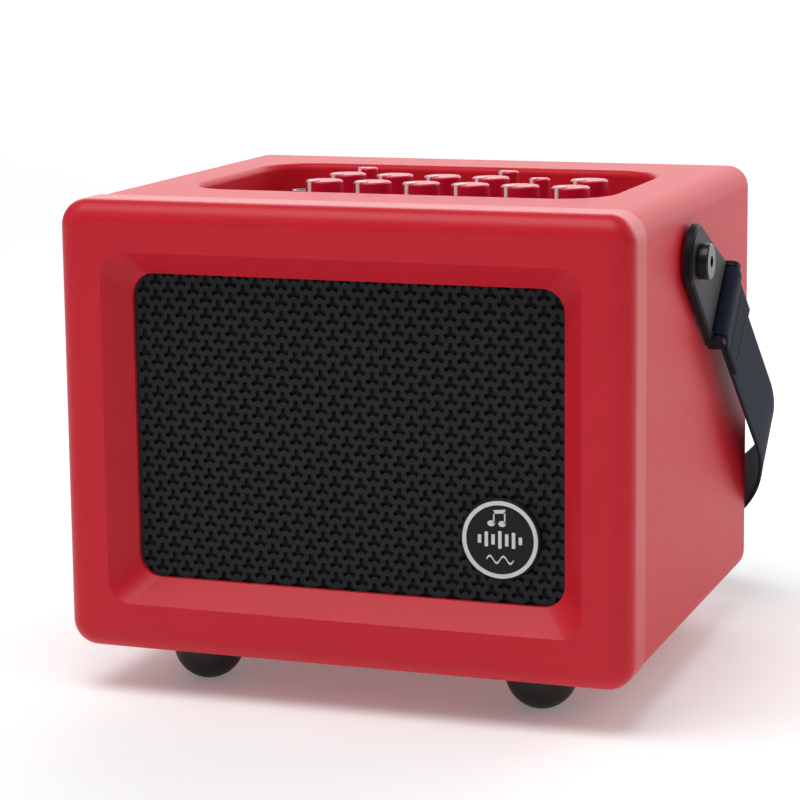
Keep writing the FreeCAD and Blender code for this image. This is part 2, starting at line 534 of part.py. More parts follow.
def rear_shell():
    width = CABINET_WIDTH - 2 * SHELL_INSET
    height = CABINET_HEIGHT - 2 * SHELL_INSET
    body = front_block(width, height, SHELL_EDGE, (SHELL_FRONT_Y, BACK_Y))
    body = body.makeFillet(SHELL_BACK_EDGE, edges_in_plane(body, "Y", BACK_Y))
    hollow_y = (SHELL_FRONT_Y, BACK_Y - WALL)
    hollow = front_block(width - 2 * WALL, height - 2 * WALL, SHELL_EDGE - WALL, hollow_y)
    body = body.cut(hollow)
    # tongue inside the bezel
    inside_width = CABINET_WIDTH - 2 * WALL - 2 * FIT
    inside_height = CABINET_HEIGHT - 2 * WALL - 2 * FIT
    tongue_y = (BEZEL_DEPTH - TONGUE_LENGTH, SHELL_FRONT_Y + TONGUE_WALL)
    tongue = front_block(inside_width, inside_height, BEZEL_CORNER - WALL - FIT, tongue_y)
    tongue_hole_width = inside_width - 2 * TONGUE_WALL
    tongue_hole_height = inside_height - 2 * TONGUE_WALL
    tongue_hole_corner = BEZEL_CORNER - WALL - TONGUE_WALL
    tongue = tongue.cut(front_block(tongue_hole_width, tongue_hole_height, tongue_hole_corner, tongue_y))
    boss_room = [rod(BEZEL_BOSS_RADIUS + FIT, Vector(x, 0, z), Y_AXIS, SHELL_FRONT_Y) for x, z in POST_PLACES]
    tongue = tongue.cut(Part.makeCompound(boss_room))
    # control well: skirt round the opening and bosses for the control panel's screws
    skirt = flat_block(
        WELL_WIDTH + 2 * SKIRT_WALL, WELL_LENGTH + 2 * SKIRT_WALL, WELL_CORNER + SKIRT_WALL,
        (0, WELL_MIDDLE_Y), (PANEL_TOP, SHELL_TOP - WALL),
    )
    boss_height = SHELL_TOP - WALL - PANEL_TOP
    bosses = [rod(PANEL_BOSS_RADIUS, Vector(p.x, p.y, PANEL_TOP), Z_AXIS, boss_height) for p in PANEL_SCREWS]
    # posts that take the long case screws from behind
    post_length = BACK_Y - WALL - SHELL_FRONT_Y
    posts = [rod(POST_RADIUS, Vector(x, SHELL_FRONT_Y, z), Y_AXIS, post_length) for x, z in POST_PLACES]
    # ledge behind the rear panel, battery tray and amplifier posts
    ledge = box(
        (-REAR_PANEL_WIDTH / 2 - WALL, REAR_PANEL_WIDTH / 2 + WALL),
        (BACK_Y - REAR_PANEL_THICKNESS - REAR_LEDGE_THICKNESS, BACK_Y - WALL),
        (REAR_PANEL_Z - REAR_PANEL_HEIGHT / 2 - WALL, REAR_PANEL_Z + REAR_PANEL_HEIGHT / 2 + WALL),
    )
    tray_back = BACK_Y - WALL - BATTERY_FROM_BACK
    tray_x = BATTERY_WIDTH / 2 + FIT
    tray_y = (tray_back - BATTERY_DEPTH - FIT, tray_back + FIT)
    tray_z = (SHELL_FLOOR, SHELL_FLOOR + TRAY_HEIGHT)
    tray_outer_x = tray_x + TRAY_WALL
    tray = box((-tray_outer_x, tray_outer_x), (tray_y[0] - TRAY_WALL, tray_y[1] + TRAY_WALL), tray_z)
    tray = tray.cut(box((-tray_x, tray_x), tray_y, tray_z))
    amp_feet = [Vector(p.x, p.y, SHELL_FLOOR) for p in AMP_SCREWS]
    amp_posts = [rod(AMP_POST_RADIUS, p, Z_AXIS, AMP_POST_HEIGHT) for p in amp_feet]
    strap_boss = fused(
        rod(BOSS_RADIUS, Vector(SHELL_SIDE - WALL, PIVOT_Y, PIVOT_Z), X_AXIS, WALL + BOSS_PROUD),
        rod(INSERT_BOSS_RADIUS, INSERT_START, X_AXIS, BOLT_SHANK_LENGTH),
    )
    body = fused(body, tongue, skirt, ledge, tray, *bosses, *posts, *amp_posts, *on_both_sides(strap_boss))
    # openings
    body = body.cut(well_opening((PANEL_TOP, SHELL_TOP)))
    rim = [e for e in edges_in_plane(body, "Z", SHELL_TOP) if in_well(e.BoundBox.Center)]
    body = body.makeFillet(WELL_LIP, rim)
    panel_seat = box(
        (-REAR_PANEL_WIDTH / 2 - FIT, REAR_PANEL_WIDTH / 2 + FIT),
        (BACK_Y - REAR_PANEL_THICKNESS, BACK_Y),
        (REAR_PANEL_Z - REAR_PANEL_HEIGHT / 2 - FIT, REAR_PANEL_Z + REAR_PANEL_HEIGHT / 2 + FIT),
    )
    window_half_width = REAR_PANEL_WIDTH / 2 - REAR_LEDGE
    window_half_height = REAR_PANEL_HEIGHT / 2 - REAR_LEDGE
    window = box(
        (-window_half_width, window_half_width),
        (BACK_Y - REAR_PANEL_THICKNESS - REAR_LEDGE_THICKNESS, BACK_Y),
        (REAR_PANEL_Z - window_half_height, REAR_PANEL_Z + window_half_height),
    )
    holes = [panel_seat, window]
    holes += [rod(M3_SHANK + SCREW_CLEARANCE, p - Y_AXIS * POST_SEAT, Y_AXIS, POST_SEAT) for p in CASE_SCREWS]
    holes += [rod(POST_WELL_RADIUS, p, Y_AXIS, BACK_Y - p.y) for p in CASE_SCREWS]
    holes += [rod(M3_SHANK, p, Z_AXIS, M3_LENGTH) for p in PANEL_SCREWS]
    holes += [rod(M3_SHANK, p, -Z_AXIS, M3_LENGTH) for p in AMP_SCREWS]
    holes += [rod(M3_SHANK, p, -Y_AXIS, M3_LENGTH) for p in REAR_SCREWS]
    holes += [rod(M4_SHANK + SCREW_CLEARANCE, p, -Z_AXIS, WALL) for p in FOOT_SCREWS]
    insert_room = rod(INSERT_RADIUS, INSERT_START, X_AXIS, BOLT_SHANK_LENGTH)
    shank_room = rod(BOLT_SHANK_RADIUS, INSERT_START, X_AXIS, BOLT_SHANK_LENGTH + INSERT_SUNK)
    holes += on_both_sides(insert_room) + on_both_sides(shank_room)
    for hole in holes:
        body = body.cut(hole)
    return body


def grille_panel():
    corner = OPENING_CORNER + GRILLE_OVERLAP - FIT
    return front_block(GRILLE_WIDTH, GRILLE_HEIGHT, corner, (GRILLE_Y, BAFFLE_Y))


def badge_disc():
    z = MIDDLE_Z - OPENING_HEIGHT / 2 + BADGE_FROM_BOTTOM
    centre = Vector(OPENING_WIDTH / 2 - BADGE_FROM_RIGHT, GRILLE_Y - BADGE_THICKNESS, z)
    disc = rod(BADGE_RADIUS, centre, Y_AXIS, BADGE_THICKNESS)
    return disc.makeFillet(BADGE_EDGE, edges_in_plane(disc, "Y", centre.y))


# ---------------------------------------------------------------- loudspeaker pieces
def speaker_baffle():
    width = LAND_OUTER_WIDTH - 2 * FIT
    height = LAND_OUTER_HEIGHT - 2 * FIT
    plate = front_block(width, height, OPENING_CORNER, (BAFFLE_Y, BAFFLE_BACK_Y))
    plate = plate.cut(rod(SPEAKER_HOLE_RADIUS, Vector(0, 0, MIDDLE_Z), Y_AXIS, BAFFLE_BACK_Y))
    holes = [rod(M3_SHANK, p, -Y_AXIS, M3_LENGTH) for p in BAFFLE_SCREWS]
    holes += [rod(M4_SHANK, p, -Y_AXIS, M4_LENGTH) for p in SPEAKER_SCREWS]
    return plate.cut(Part.makeCompound(holes))


FLANGE_BACK = BAFFLE_BACK_Y + FLANGE_THICKNESS
BASKET_BACK = BAFFLE_BACK_Y + BASKET_DEPTH
CONE_FRONT = BAFFLE_BACK_Y + CONE_SET_BACK
CONE_BACK = CONE_FRONT + CONE_DEPTH
COIL_OUTER = COIL_RADIUS + COIL_WALL


def speaker_basket():
    rim = SPEAKER_HOLE_RADIUS
    wall = turned([
        (rim - BASKET_WALL, BAFFLE_BACK_Y),
        (SPEAKER_RADIUS, BAFFLE_BACK_Y),
        (SPEAKER_RADIUS, FLANGE_BACK),
        (rim, FLANGE_BACK),
        (BASKET_BACK_RADIUS, BASKET_BACK - BASKET_WALL),
        (BASKET_BACK_RADIUS, BASKET_BACK),
        (COIL_OUTER + BASKET_MOUTH, BASKET_BACK),
        (COIL_OUTER + BASKET_MOUTH, BASKET_BACK - BASKET_WALL),
        (BASKET_BACK_RADIUS - BASKET_WALL, BASKET_BACK - BASKET_WALL),
        (rim - BASKET_WALL, FLANGE_BACK + 1.0),
    ])
    windows = []
    window_x = (BASKET_BACK_RADIUS - WINDOW_INNER, SPEAKER_RADIUS + WINDOW_INNER)
    window_y = (FLANGE_BACK + WINDOW_MARGIN, BASKET_BACK - WINDOW_MARGIN)
    for i in range(BASKET_WINDOWS):
        window = box(window_x, window_y, (-WINDOW_WIDTH / 2, WINDOW_WIDTH / 2))
        window.rotate(Vector(0, 0, 0), Y_AXIS, 360 / BASKET_WINDOWS * i)
        window.translate(Vector(0, 0, MIDDLE_Z))
        windows.append(window)
    holes = [rod(M4_SHANK + SCREW_CLEARANCE, p, -Y_AXIS, FLANGE_THICKNESS) for p in SPEAKER_SCREWS]
    return wall.cut(Part.makeCompound(windows)).cut(Part.makeCompound(holes))


def speaker_magnet():
    """Front plate, ferrite ring and yoke with its pole, one behind the other."""
    plate_back = BASKET_BACK + PLATE_THICKNESS
    ring_back = plate_back + MAGNET_THICKNESS
    pole = COIL_RADIUS - COIL_GAP
    plate_radius = MAGNET_RADIUS - PLATE_INSET
    ring_inside = COIL_OUTER + RING_PLAY
    yoke_back = ring_back + PLATE_THICKNESS
    plate = turned([
        (COIL_OUTER + COIL_GAP, BASKET_BACK),
        (plate_radius, BASKET_BACK),
        (plate_radius, plate_back),
        (COIL_OUTER + COIL_GAP, plate_back),
    ])
    ring = turned([
        (ring_inside, plate_back),
        (MAGNET_RADIUS, plate_back),
        (MAGNET_RADIUS, ring_back),
        (ring_inside, ring_back),
    ])
    yoke = turned([
        (0, BASKET_BACK),
        (pole, BASKET_BACK),
        (pole, ring_back),
        (plate_radius, ring_back),
        (plate_radius, yoke_back),
        (0, yoke_back),
    ])
    return Part.makeCompound([plate, ring, yoke])


def speaker_cone():
    return turned([
        (CONE_RADIUS, CONE_FRONT),
        (CONE_RADIUS, CONE_FRONT + CONE_WALL),
        (COIL_OUTER + CONE_LIP, CONE_BACK),
        (COIL_OUTER, CONE_BACK),
        (COIL_OUTER, CONE_BACK - CONE_WALL * 2),
        (CONE_RADIUS - CONE_LIP, CONE_FRONT),
    ])


def half_roll(start_x, end_x, y, height):
    """Arc between two points at one depth that bulges forwards."""
    top = Vector((start_x + end_x) / 2, y - height, 0)
    return Part.Arc(Vector(start_x, y, 0), top, Vector(end_x, y, 0)).toShape()


def speaker_surround():
    """Half-roll of rubber between the cone's edge and the basket."""
    inner = CONE_RADIUS
    outer = SPEAKER_HOLE_RADIUS - BASKET_WALL
    roll = (outer - inner) / 2 - SURROUND_LAND
    middle = (outer + inner) / 2
    back = CONE_FRONT + CONE_WALL
    inside = roll - CONE_WALL
    profile = Part.Wire([
        Part.makeLine(Vector(inner, CONE_FRONT, 0), Vector(middle - roll, CONE_FRONT, 0)),
        half_roll(middle - roll, middle + roll, CONE_FRONT, roll),
        Part.makeLine(Vector(middle + roll, CONE_FRONT, 0), Vector(outer, CONE_FRONT, 0)),
        Part.makeLine(Vector(outer, CONE_FRONT, 0), Vector(outer, back, 0)),
        Part.makeLine(Vector(outer, back, 0), Vector(middle + inside, back, 0)),
        half_roll(middle + inside, middle - inside, back, inside),
        Part.makeLine(Vector(middle - inside, back, 0), Vector(inner, back, 0)),
        Part.makeLine(Vector(inner, back, 0), Vector(inner, CONE_FRONT, 0)),
    ])
    ring = Part.Face(profile).revolve(Vector(0, 0, 0), Y_AXIS, 360)
    ring.translate(Vector(0, 0, MIDDLE_Z))
    return ring


def speaker_dust_cap():
    back = CONE_BACK - CONE_WALL * 2
    return turned([
        (0, back - CAP_HEIGHT),
        (CAP_RADIUS, back - CAP_SHOULDER),
        (COIL_OUTER, back - CAP_EDGE),
        (COIL_OUTER, back),
        (COIL_RADIUS, back),
        (CAP_RADIUS - CAP_EDGE, back - CAP_SHOULDER + CAP_EDGE),
        (0, back - CAP_HEIGHT + CAP_EDGE),
    ])


def speaker_spider():
    """Corrugated suspension disc between the voice coil and the basket's back."""
    basket = BASKET_BACK - BASKET_WALL
    y = basket - SPIDER_SPACE
    step = (SPIDER_RADIUS - COIL_OUTER) / SPIDER_ROLLS
    front = [(COIL_OUTER + i * step, y + SPIDER_WAVE * (i % 2)) for i in range(SPIDER_ROLLS + 1)]
    back = [(radius, depth + SPIDER_THICKNESS) for radius, depth in reversed(front)]
    foot_radius = SPIDER_RADIUS + SPIDER_FOOT
    return turned(front + [(foot_radius, y), (foot_radius, basket), (SPIDER_RADIUS, basket)] + back)


def voice_coil():
    front = CONE_BACK - CONE_WALL * 2
    return turned([
        (COIL_RADIUS, front),
        (COIL_OUTER, front),
        (COIL_OUTER, front + COIL_LENGTH),
        (COIL_RADIUS, front + COIL_LENGTH),
    ])


# ---------------------------------------------------------------- controls
def knob_place(column, row):
    return Vector(KNOB_COLUMN_1 + (column - 1) * KNOB_PITCH, KNOB_ROWS[row - 1], 0)


def control_panel():
    panel = flat_block(
        WELL_WIDTH + 2 * PANEL_MARGIN, WELL_LENGTH + 2 * PANEL_MARGIN, WELL_CORNER,
        (0, WELL_MIDDLE_Y), (PANEL_BOTTOM, PANEL_TOP),
    )
    post_height = PANEL_BOTTOM - BOARD_TOP
    posts = [rod(BOARD_POST_RADIUS, Vector(p.x, p.y, BOARD_TOP), Z_AXIS, post_height) for p in BOARD_SCREWS]
    panel = fused(panel, *posts)
    lift = Vector(0, 0, PANEL_BOTTOM)
    holes = [rod(SHAFT_HOLE_RADIUS, knob_place(c, r) + lift, Z_AXIS, PANEL_THICKNESS) for _, c, r, _ in KNOBS]
    bushes = [Vector(JACK_X, y, PANEL_BOTTOM) for y in JACK_ROWS]
    holes += [rod(JACK_BUSH_RADIUS, p, Z_AXIS, PANEL_THICKNESS) for p in bushes]
    holes += [rod(M3_SHANK + SCREW_CLEARANCE, p, Z_AXIS, PANEL_THICKNESS) for p in PANEL_SCREWS]
    holes += [rod(M3_SHANK, p, Z_AXIS, M3_LENGTH) for p in BOARD_SCREWS]
    return panel.cut(Part.makeCompound(holes))


def knob(column, row, radius):
    place = knob_place(column, row)
    height = KNOB_TOP - KNOB_BOTTOM - POINTER_PROUD
    body = rod(radius, Vector(0, 0, KNOB_BOTTOM), Z_AXIS, height)
    body = body.makeChamfer(KNOB_CHAMFER, edges_in_plane(body, "Z", KNOB_BOTTOM + height))
    pointer_x = (-POINTER_WIDTH / 2, POINTER_WIDTH / 2)
    pointer_y = (-radius - POINTER_PROUD, -radius + radius * POINTER_REACH)
    pointer = box(pointer_x, pointer_y, (KNOB_BOTTOM, KNOB_TOP))
    pointer.rotate(Vector(0, 0, 0), Z_AXIS, POINTER_ANGLE)
    body = fused(body, pointer)
    body = body.cut(d_shaft(KNOB_BOTTOM, SHAFT_IN_KNOB))
    body.translate(place)
    return body


def d_shaft(bottom, length):
    """Round shaft with one flat, about the origin."""
    shaft = rod(SHAFT_RADIUS, Vector(0, 0, bottom), Z_AXIS, length)
    kept = box((-SHAFT_RADIUS, SHAFT_FLAT), (-SHAFT_RADIUS, SHAFT_RADIUS), (bottom, bottom + length))
    return shaft.common(kept)


def pot_shaft(column, row):
    foot = BOARD_TOP + POT_FLOOR + POT_END_PLAY
    shaft = rod(SHAFT_RADIUS, Vector(0, 0, foot), Z_AXIS, KNOB_BOTTOM - foot)
    shaft = fused(shaft, d_shaft(KNOB_BOTTOM, SHAFT_IN_KNOB))
    shaft.translate(knob_place(column, row))
    return shaft


def potentiometer_bodies():
    bodies = []
    half = POT_SIZE / 2
    for _, column, row, _ in KNOBS:
        body = box((-half, half), (-half, half), (BOARD_TOP, POT_TOP))
        bore_start = Vector(0, 0, BOARD_TOP + POT_FLOOR)
        body = body.cut(rod(SHAFT_RADIUS + POT_RUNNING_FIT, bore_start, Z_AXIS, POT_HEIGHT))
        body.translate(knob_place(column, row))
        bodies.append(body)
    return Part.makeCompound(bodies)


def control_board():
    board = box((BOARD_LEFT, BOARD_RIGHT), (BOARD_FRONT, BOARD_BACK), (BOARD_BOTTOM, BOARD_TOP))
    holes = [rod(M3_SHANK + SCREW_CLEARANCE, p, Z_AXIS, BOARD_THICKNESS) for p in BOARD_SCREWS]
    return board.cut(Part.makeCompound(holes))


def input_jacks():
    jacks = []
    half = JACK_BODY_SIZE / 2
    for y in JACK_ROWS:
        body = box((-half, half), (-half, half), (PANEL_BOTTOM - JACK_BODY_LENGTH, PANEL_BOTTOM))
        top = PANEL_TOP + JACK_BUSH_ABOVE
        bush = rod(JACK_BUSH_RADIUS, Vector(0, 0, PANEL_BOTTOM), Z_AXIS, top - PANEL_BOTTOM)
        body = fused(body, bush).cut(rod(JACK_BORE_RADIUS, Vector(0, 0, top), -Z_AXIS, JACK_BORE_LENGTH))
        body.translate(Vector(JACK_X, y, 0))
        jacks.append(body)
    return Part.makeCompound(jacks)


def jack_nuts():
    nuts = []
    for y in JACK_ROWS:
        base = Vector(0, 0, PANEL_TOP)
        corners = [base + Vector(a, b, 0) for a, b in hexagon_corners(NUT_RADIUS)]
        nut = Part.Face(Part.makePolygon(corners)).extrude(Vector(0, 0, NUT_THICKNESS))
        cone = Part.makeCone(NUT_RADIUS + NUT_THICKNESS, NUT_RADIUS - NUT_CHAMFER, NUT_THICKNESS, base)
        nut = nut.common(cone)
        nut = nut.cut(rod(JACK_BUSH_RADIUS, base, Z_AXIS, NUT_THICKNESS))
        nut.translate(Vector(JACK_X, y, 0))
        nuts.append(nut)
    return Part.makeCompound(nuts)


# ---------------------------------------------------------------- electronics
def amplifier_board():
    y = (AMP_BOARD_Y - AMP_BOARD_DEPTH / 2, AMP_BOARD_Y + AMP_BOARD_DEPTH / 2)
    z = (AMP_BOARD_Z, AMP_BOARD_Z + BOARD_THICKNESS)
    board = box((-AMP_BOARD_WIDTH / 2, AMP_BOARD_WIDTH / 2), y, z)
    holes = [rod(M3_SHANK + SCREW_CLEARANCE, p, -Z_AXIS, BOARD_THICKNESS) for p in AMP_SCREWS]
    return board.cut(Part.makeCompound(holes))


def heat_sink():
    z = AMP_BOARD_Z + BOARD_THICKNESS
    y = (AMP_BOARD_Y - SINK_DEPTH / 2, AMP_BOARD_Y + SINK_DEPTH / 2)
    body = box((-SINK_WIDTH / 2, SINK_WIDTH / 2), y, (z, z + SINK_HEIGHT))
    pitch = SINK_WIDTH / (2 * SINK_FINS - 1)
    slots = []
    for i in range(SINK_FINS - 1):
        left = -SINK_WIDTH / 2 + (2 * i + 1) * pitch
        slots.append(box((left, left + pitch), y, (z + SINK_BASE, z + SINK_HEIGHT)))
    return body.cut(Part.makeCompound(slots))


def battery_pack():
    back = BACK_Y - WALL - BATTERY_FROM_BACK
    top = SHELL_FLOOR + BATTERY_HEIGHT
    body = box((-BATTERY_WIDTH / 2, BATTERY_WIDTH / 2), (back - BATTERY_DEPTH, back), (SHELL_FLOOR, top))
    return body.makeFillet(BATTERY_EDGE, edges_in_plane(body, "Z", top))


def rear_panel():
    half = REAR_PANEL_HEIGHT / 2
    y = (BACK_Y - REAR_PANEL_THICKNESS, BACK_Y)
    panel = box((-REAR_PANEL_WIDTH / 2, REAR_PANEL_WIDTH / 2), y, (REAR_PANEL_Z - half, REAR_PANEL_Z + half))
    holes = [rod(M3_SHANK + SCREW_CLEARANCE, p, -Y_AXIS, REAR_PANEL_THICKNESS) for p in REAR_SCREWS]
    holes.append(switch_box(SWITCH_WALL, y))
    holes.append(rod(SOCKET_RADIUS, Vector(SOCKET_X, BACK_Y, REAR_PANEL_Z), -Y_AXIS, REAR_PANEL_THICKNESS))
    return panel.cut(Part.makeCompound(holes))


def switch_box(margin, depth):
    """Block round the rocker, larger by a margin on each side."""
    half_width = ROCKER_WIDTH / 2 + ROCKER_PLAY + margin
    half_height = ROCKER_HEIGHT / 2 + ROCKER_PLAY + margin
    z = (REAR_PANEL_Z - half_height, REAR_PANEL_Z + half_height)
    return box((ROCKER_X - half_width, ROCKER_X + half_width), depth, z)


def power_switch_body():
    body = switch_box(SWITCH_WALL, (BACK_Y - SWITCH_DEPTH, BACK_Y))
    flange = switch_box(SWITCH_WALL + FLANGE_REACH, (BACK_Y, BACK_Y + FLANGE_PROUD))
    body = fused(body, flange)
    return body.cut(switch_box(0, (BACK_Y - SWITCH_DEPTH + SWITCH_WALL, BACK_Y + FLANGE_PROUD)))


def power_rocker():
    """Rocker paddle: two faces that meet in a shallow V, on a pivot level with the panel."""
    half = ROCKER_HEIGHT / 2 - ROCKER_END_PLAY
    middle = Vector(ROCKER_X - ROCKER_WIDTH / 2, BACK_Y, REAR_PANEL_Z)
    corners = [
        (-half, -ROCKER_PROUD), (-half, ROCKER_RAISED), (0, ROCKER_PROUD),
        (half, ROCKER_PROUD), (half, -ROCKER_PROUD), (0, -ROCKER_ROOT),
    ]
    points = [middle + Vector(0, y, z) for z, y in corners]
    return Part.Face(Part.makePolygon(points + points[:1])).extrude(Vector(ROCKER_WIDTH, 0, 0))


def dc_socket():
    body = rod(SOCKET_RADIUS, Vector(SOCKET_X, BACK_Y - SOCKET_DEPTH, REAR_PANEL_Z), Y_AXIS, SOCKET_DEPTH)
    flange = rod(SOCKET_RADIUS + FLANGE_REACH, Vector(SOCKET_X, BACK_Y, REAR_PANEL_Z), Y_AXIS, FLANGE_PROUD)
    mouth = Vector(SOCKET_X, BACK_Y + FLANGE_PROUD, REAR_PANEL_Z)
    body = fused(body, flange).cut(rod(SOCKET_BORE_RADIUS, mouth, -Y_AXIS, SOCKET_BORE_LENGTH))
    pin = rod(SOCKET_PIN_RADIUS, mouth - Y_AXIS * (SOCKET_BORE_LENGTH + PIN_ROOT), Y_AXIS, SOCKET_PIN_LENGTH)
    return fused(body, pin)


# ---------------------------------------------------------------- feet and screws
def rubber_feet():
    """Domes on short round stems, each with a small flat to stand on and a hole for its screw."""
    dome_z = -FOOT_HEIGHT + math.sqrt(FOOT_RADIUS ** 2 - FOOT_FLAT ** 2)
    feet = []
    for x, y in FOOT_PLACES:
        stem = rod(FOOT_RADIUS, Vector(x, y, dome_z), Z_AXIS, SHELL_INSET - dome_z)
        ball = Part.makeSphere(FOOT_RADIUS, Vector(x, y, dome_z))
        room = rod(FOOT_RADIUS, Vector(x, y, -FOOT_HEIGHT), Z_AXIS, FOOT_HEIGHT + SHELL_INSET)
        foot = stem.fuse(ball.common(room)).removeSplitter()
        feet.append(foot.cut(rod(M4_SHANK, Vector(x, y, SHELL_INSET), -Z_AXIS, M4_LENGTH - WALL)))
    return Part.makeCompound(feet)


def case_screws():
    screws = [m3_screw(p, -Y_AXIS) for p in CASE_SCREWS + BAFFLE_SCREWS + REAR_SCREWS]
    screws += [m3_screw(p, Z_AXIS) for p in PANEL_SCREWS + BOARD_SCREWS]
    screws += [m3_screw(p, -Z_AXIS) for p in AMP_SCREWS]
    return Part.makeCompound(screws)


def foot_and_speaker_screws():
    screws = [m4_screw(p, -Z_AXIS) for p in FOOT_SCREWS]
    screws += [m4_screw(p, -Y_AXIS) for p in SPEAKER_SCREWS]
    return Part.makeCompound(screws)


# ---------------------------------------------------------------- carrying strap
def in_strap_plane(shape):
    """Turns a shape made in the strap's own plane to its place on the bolts."""
    shape.rotate(Vector(0, 0, 0), X_AXIS, -math.degrees(STRAP_FALL))
    shape.translate(Vector(0, PIVOT_Y, PIVOT_Z))
    return shape


def hull_of_circles(circles, x):
    """Outline round circles given anticlockwise as (s, v, radius), standing at one X."""
    edges = []
    touches = []
    count = len(circles)
    for i in range(count):
        s1, v1, r1 = circles[i]
        s2, v2, r2 = circles[(i + 1) % count]
        distance = math.hypot(s2 - s1, v2 - v1)
        heading = math.atan2(v2 - v1, s2 - s1) - math.pi / 2 + math.asin((r2 - r1) / distance)
        start = Vector(x, s1 + r1 * math.cos(heading), v1 + r1 * math.sin(heading))
        end = Vector(x, s2 + r2 * math.cos(heading), v2 + r2 * math.sin(heading))
        touches.append((heading, start, end))
    for i in range(count):
        heading, start, end = touches[i]
        next_heading, next_start, _ = touches[(i + 1) % count]
        s, v, r = circles[(i + 1) % count]
        turn = (next_heading - heading) % (2 * math.pi)
        middle = heading + turn / 2
        edges.append(Part.makeLine(start, end))
        halfway = Vector(x, s + r * math.cos(middle), v + r * math.sin(middle))
        edges.append(Part.Arc(end, halfway, next_start).toShape())
    return Part.Wire(edges)


def strap_hanger():
    """Right-hand hanger: eye plate, two arms and a raised bar that the webbing loops round."""
    half = WEBBING_WIDTH / 2 + WEBBING_SIDE_PLAY
    corner = HANGER_CORNER
    reach = half + HANGER_SIDE - corner
    circles = [(0, 0, HANGER_EYE_RADIUS), (BAR_S, BAR_V - reach, corner), (BAR_S, BAR_V + reach, corner)]
    plate = Part.Face(hull_of_circles(circles, HANGER_X)).extrude(Vector(HANGER_THICKNESS, 0, 0))
    plate = plate.makeChamfer(HANGER_RIM, edges_in_plane(plate, "X", HANGER_X + HANGER_THICKNESS))
    plate_x = (HANGER_X, HANGER_X + HANGER_THICKNESS)
    mouth = box(plate_x, (BAR_S - MOUTH_LENGTH, BAR_S + MOUTH_LENGTH), (BAR_V - half, BAR_V + half))
    plate = plate.cut(mouth)
    arms = []
    for low in (BAR_V - half - HANGER_SIDE, BAR_V + half):
        arm_s = (BAR_S - ARM_RADIUS, BAR_S + ARM_RADIUS)
        arms.append(box((HANGER_X + HANGER_RIM, BAR_X), arm_s, (low, low + HANGER_SIDE)))
        arms.append(rod(ARM_RADIUS, Vector(BAR_X, BAR_S, low), Z_AXIS, HANGER_SIDE))
    bar = rod(BAR_RADIUS, Vector(BAR_X, BAR_S, BAR_V - half), Z_AXIS, 2 * half)
    hanger = fused(plate, bar, *arms)
    hanger = hanger.cut(rod(SHOULDER_RADIUS + SHOULDER_FIT, Vector(HANGER_X, 0, 0), X_AXIS, HANGER_THICKNESS))
    return in_strap_plane(hanger)


def curve_point(centre_x, centre_s, radius, heading):
    return Vector(centre_x + radius * math.cos(heading), centre_s + radius * math.sin(heading), 0)


def strap_edge(offset):
    """One face of the webbing, from the right bar round the back to the left bar."""
    corner_radius = STRAP_CORNER_RADIUS + offset
    back_radius = BACK_CURVE_RADIUS + offset
    across = Vector(math.cos(SPREAD), -math.sin(SPREAD), 0) * offset
    start = Vector(BAR_X, BAR_S, 0) + across
    headings = (-SPREAD, (HEADING - SPREAD) / 2, HEADING)
    corner = [curve_point(CORNER_CENTRE_X, CORNER_CENTRE_S, corner_radius, h) for h in headings]
    middle = curve_point(0, BACK_CENTRE_S, back_radius, math.pi / 2)
    right = [Part.makeLine(start, corner[0]), Part.Arc(*corner).toShape()]
    left_corner = [Vector(-p.x, p.y, 0) for p in corner]
    left_start = Vector(-start.x, start.y, 0)
    back = Part.Arc(corner[2], middle, left_corner[2]).toShape()
    left_arc = Part.Arc(left_corner[2], left_corner[1], left_corner[0]).toShape()
    left = [left_arc, Part.makeLine(left_corner[0], left_start)]
    return right + [back] + left, start, left_start


def strap_webbing():
    half = WEBBING_THICKNESS / 2
    outer, outer_start, outer_end = strap_edge(half)
    inner, inner_start, inner_end = strap_edge(-half)
    closing = [Part.makeLine(outer_end, inner_end)] + inner[::-1] + [Part.makeLine(inner_start, outer_start)]
    outline = Part.Wire(outer + closing)
    band = Part.Face(outline)
    ends = []
    for side in (1, -1):
        along = Vector(side * math.sin(SPREAD), math.cos(SPREAD), 0)
        across = Vector(side * math.cos(SPREAD), -math.sin(SPREAD), 0) * WEBBING_THICKNESS
        root = Vector(side * BAR_X, BAR_S, 0)
        tip = root + along * STITCHED_LENGTH
        corners = [root - across, root + across, tip + across, tip - across, root - across]
        doubled = Part.Face(Part.makePolygon(corners))
        loop = Part.Face(Part.Wire(Part.makeCircle(BAR_RADIUS + BAR_FIT + WEBBING_THICKNESS, root)))
        ends += [doubled, loop]
    section = band.multiFuse(ends)
    circles = [Part.makeCircle(BAR_RADIUS + BAR_FIT, Vector(side * BAR_X, BAR_S, 0)) for side in (1, -1)]
    holes = [Part.Face(Part.Wire(circle)) for circle in circles]
    section = section.cut(Part.makeCompound(holes)).removeSplitter()
    strap = section.extrude(Vector(0, 0, WEBBING_WIDTH))
    strap.translate(Vector(0, 0, BAR_V - WEBBING_WIDTH / 2))
    return in_strap_plane(strap)


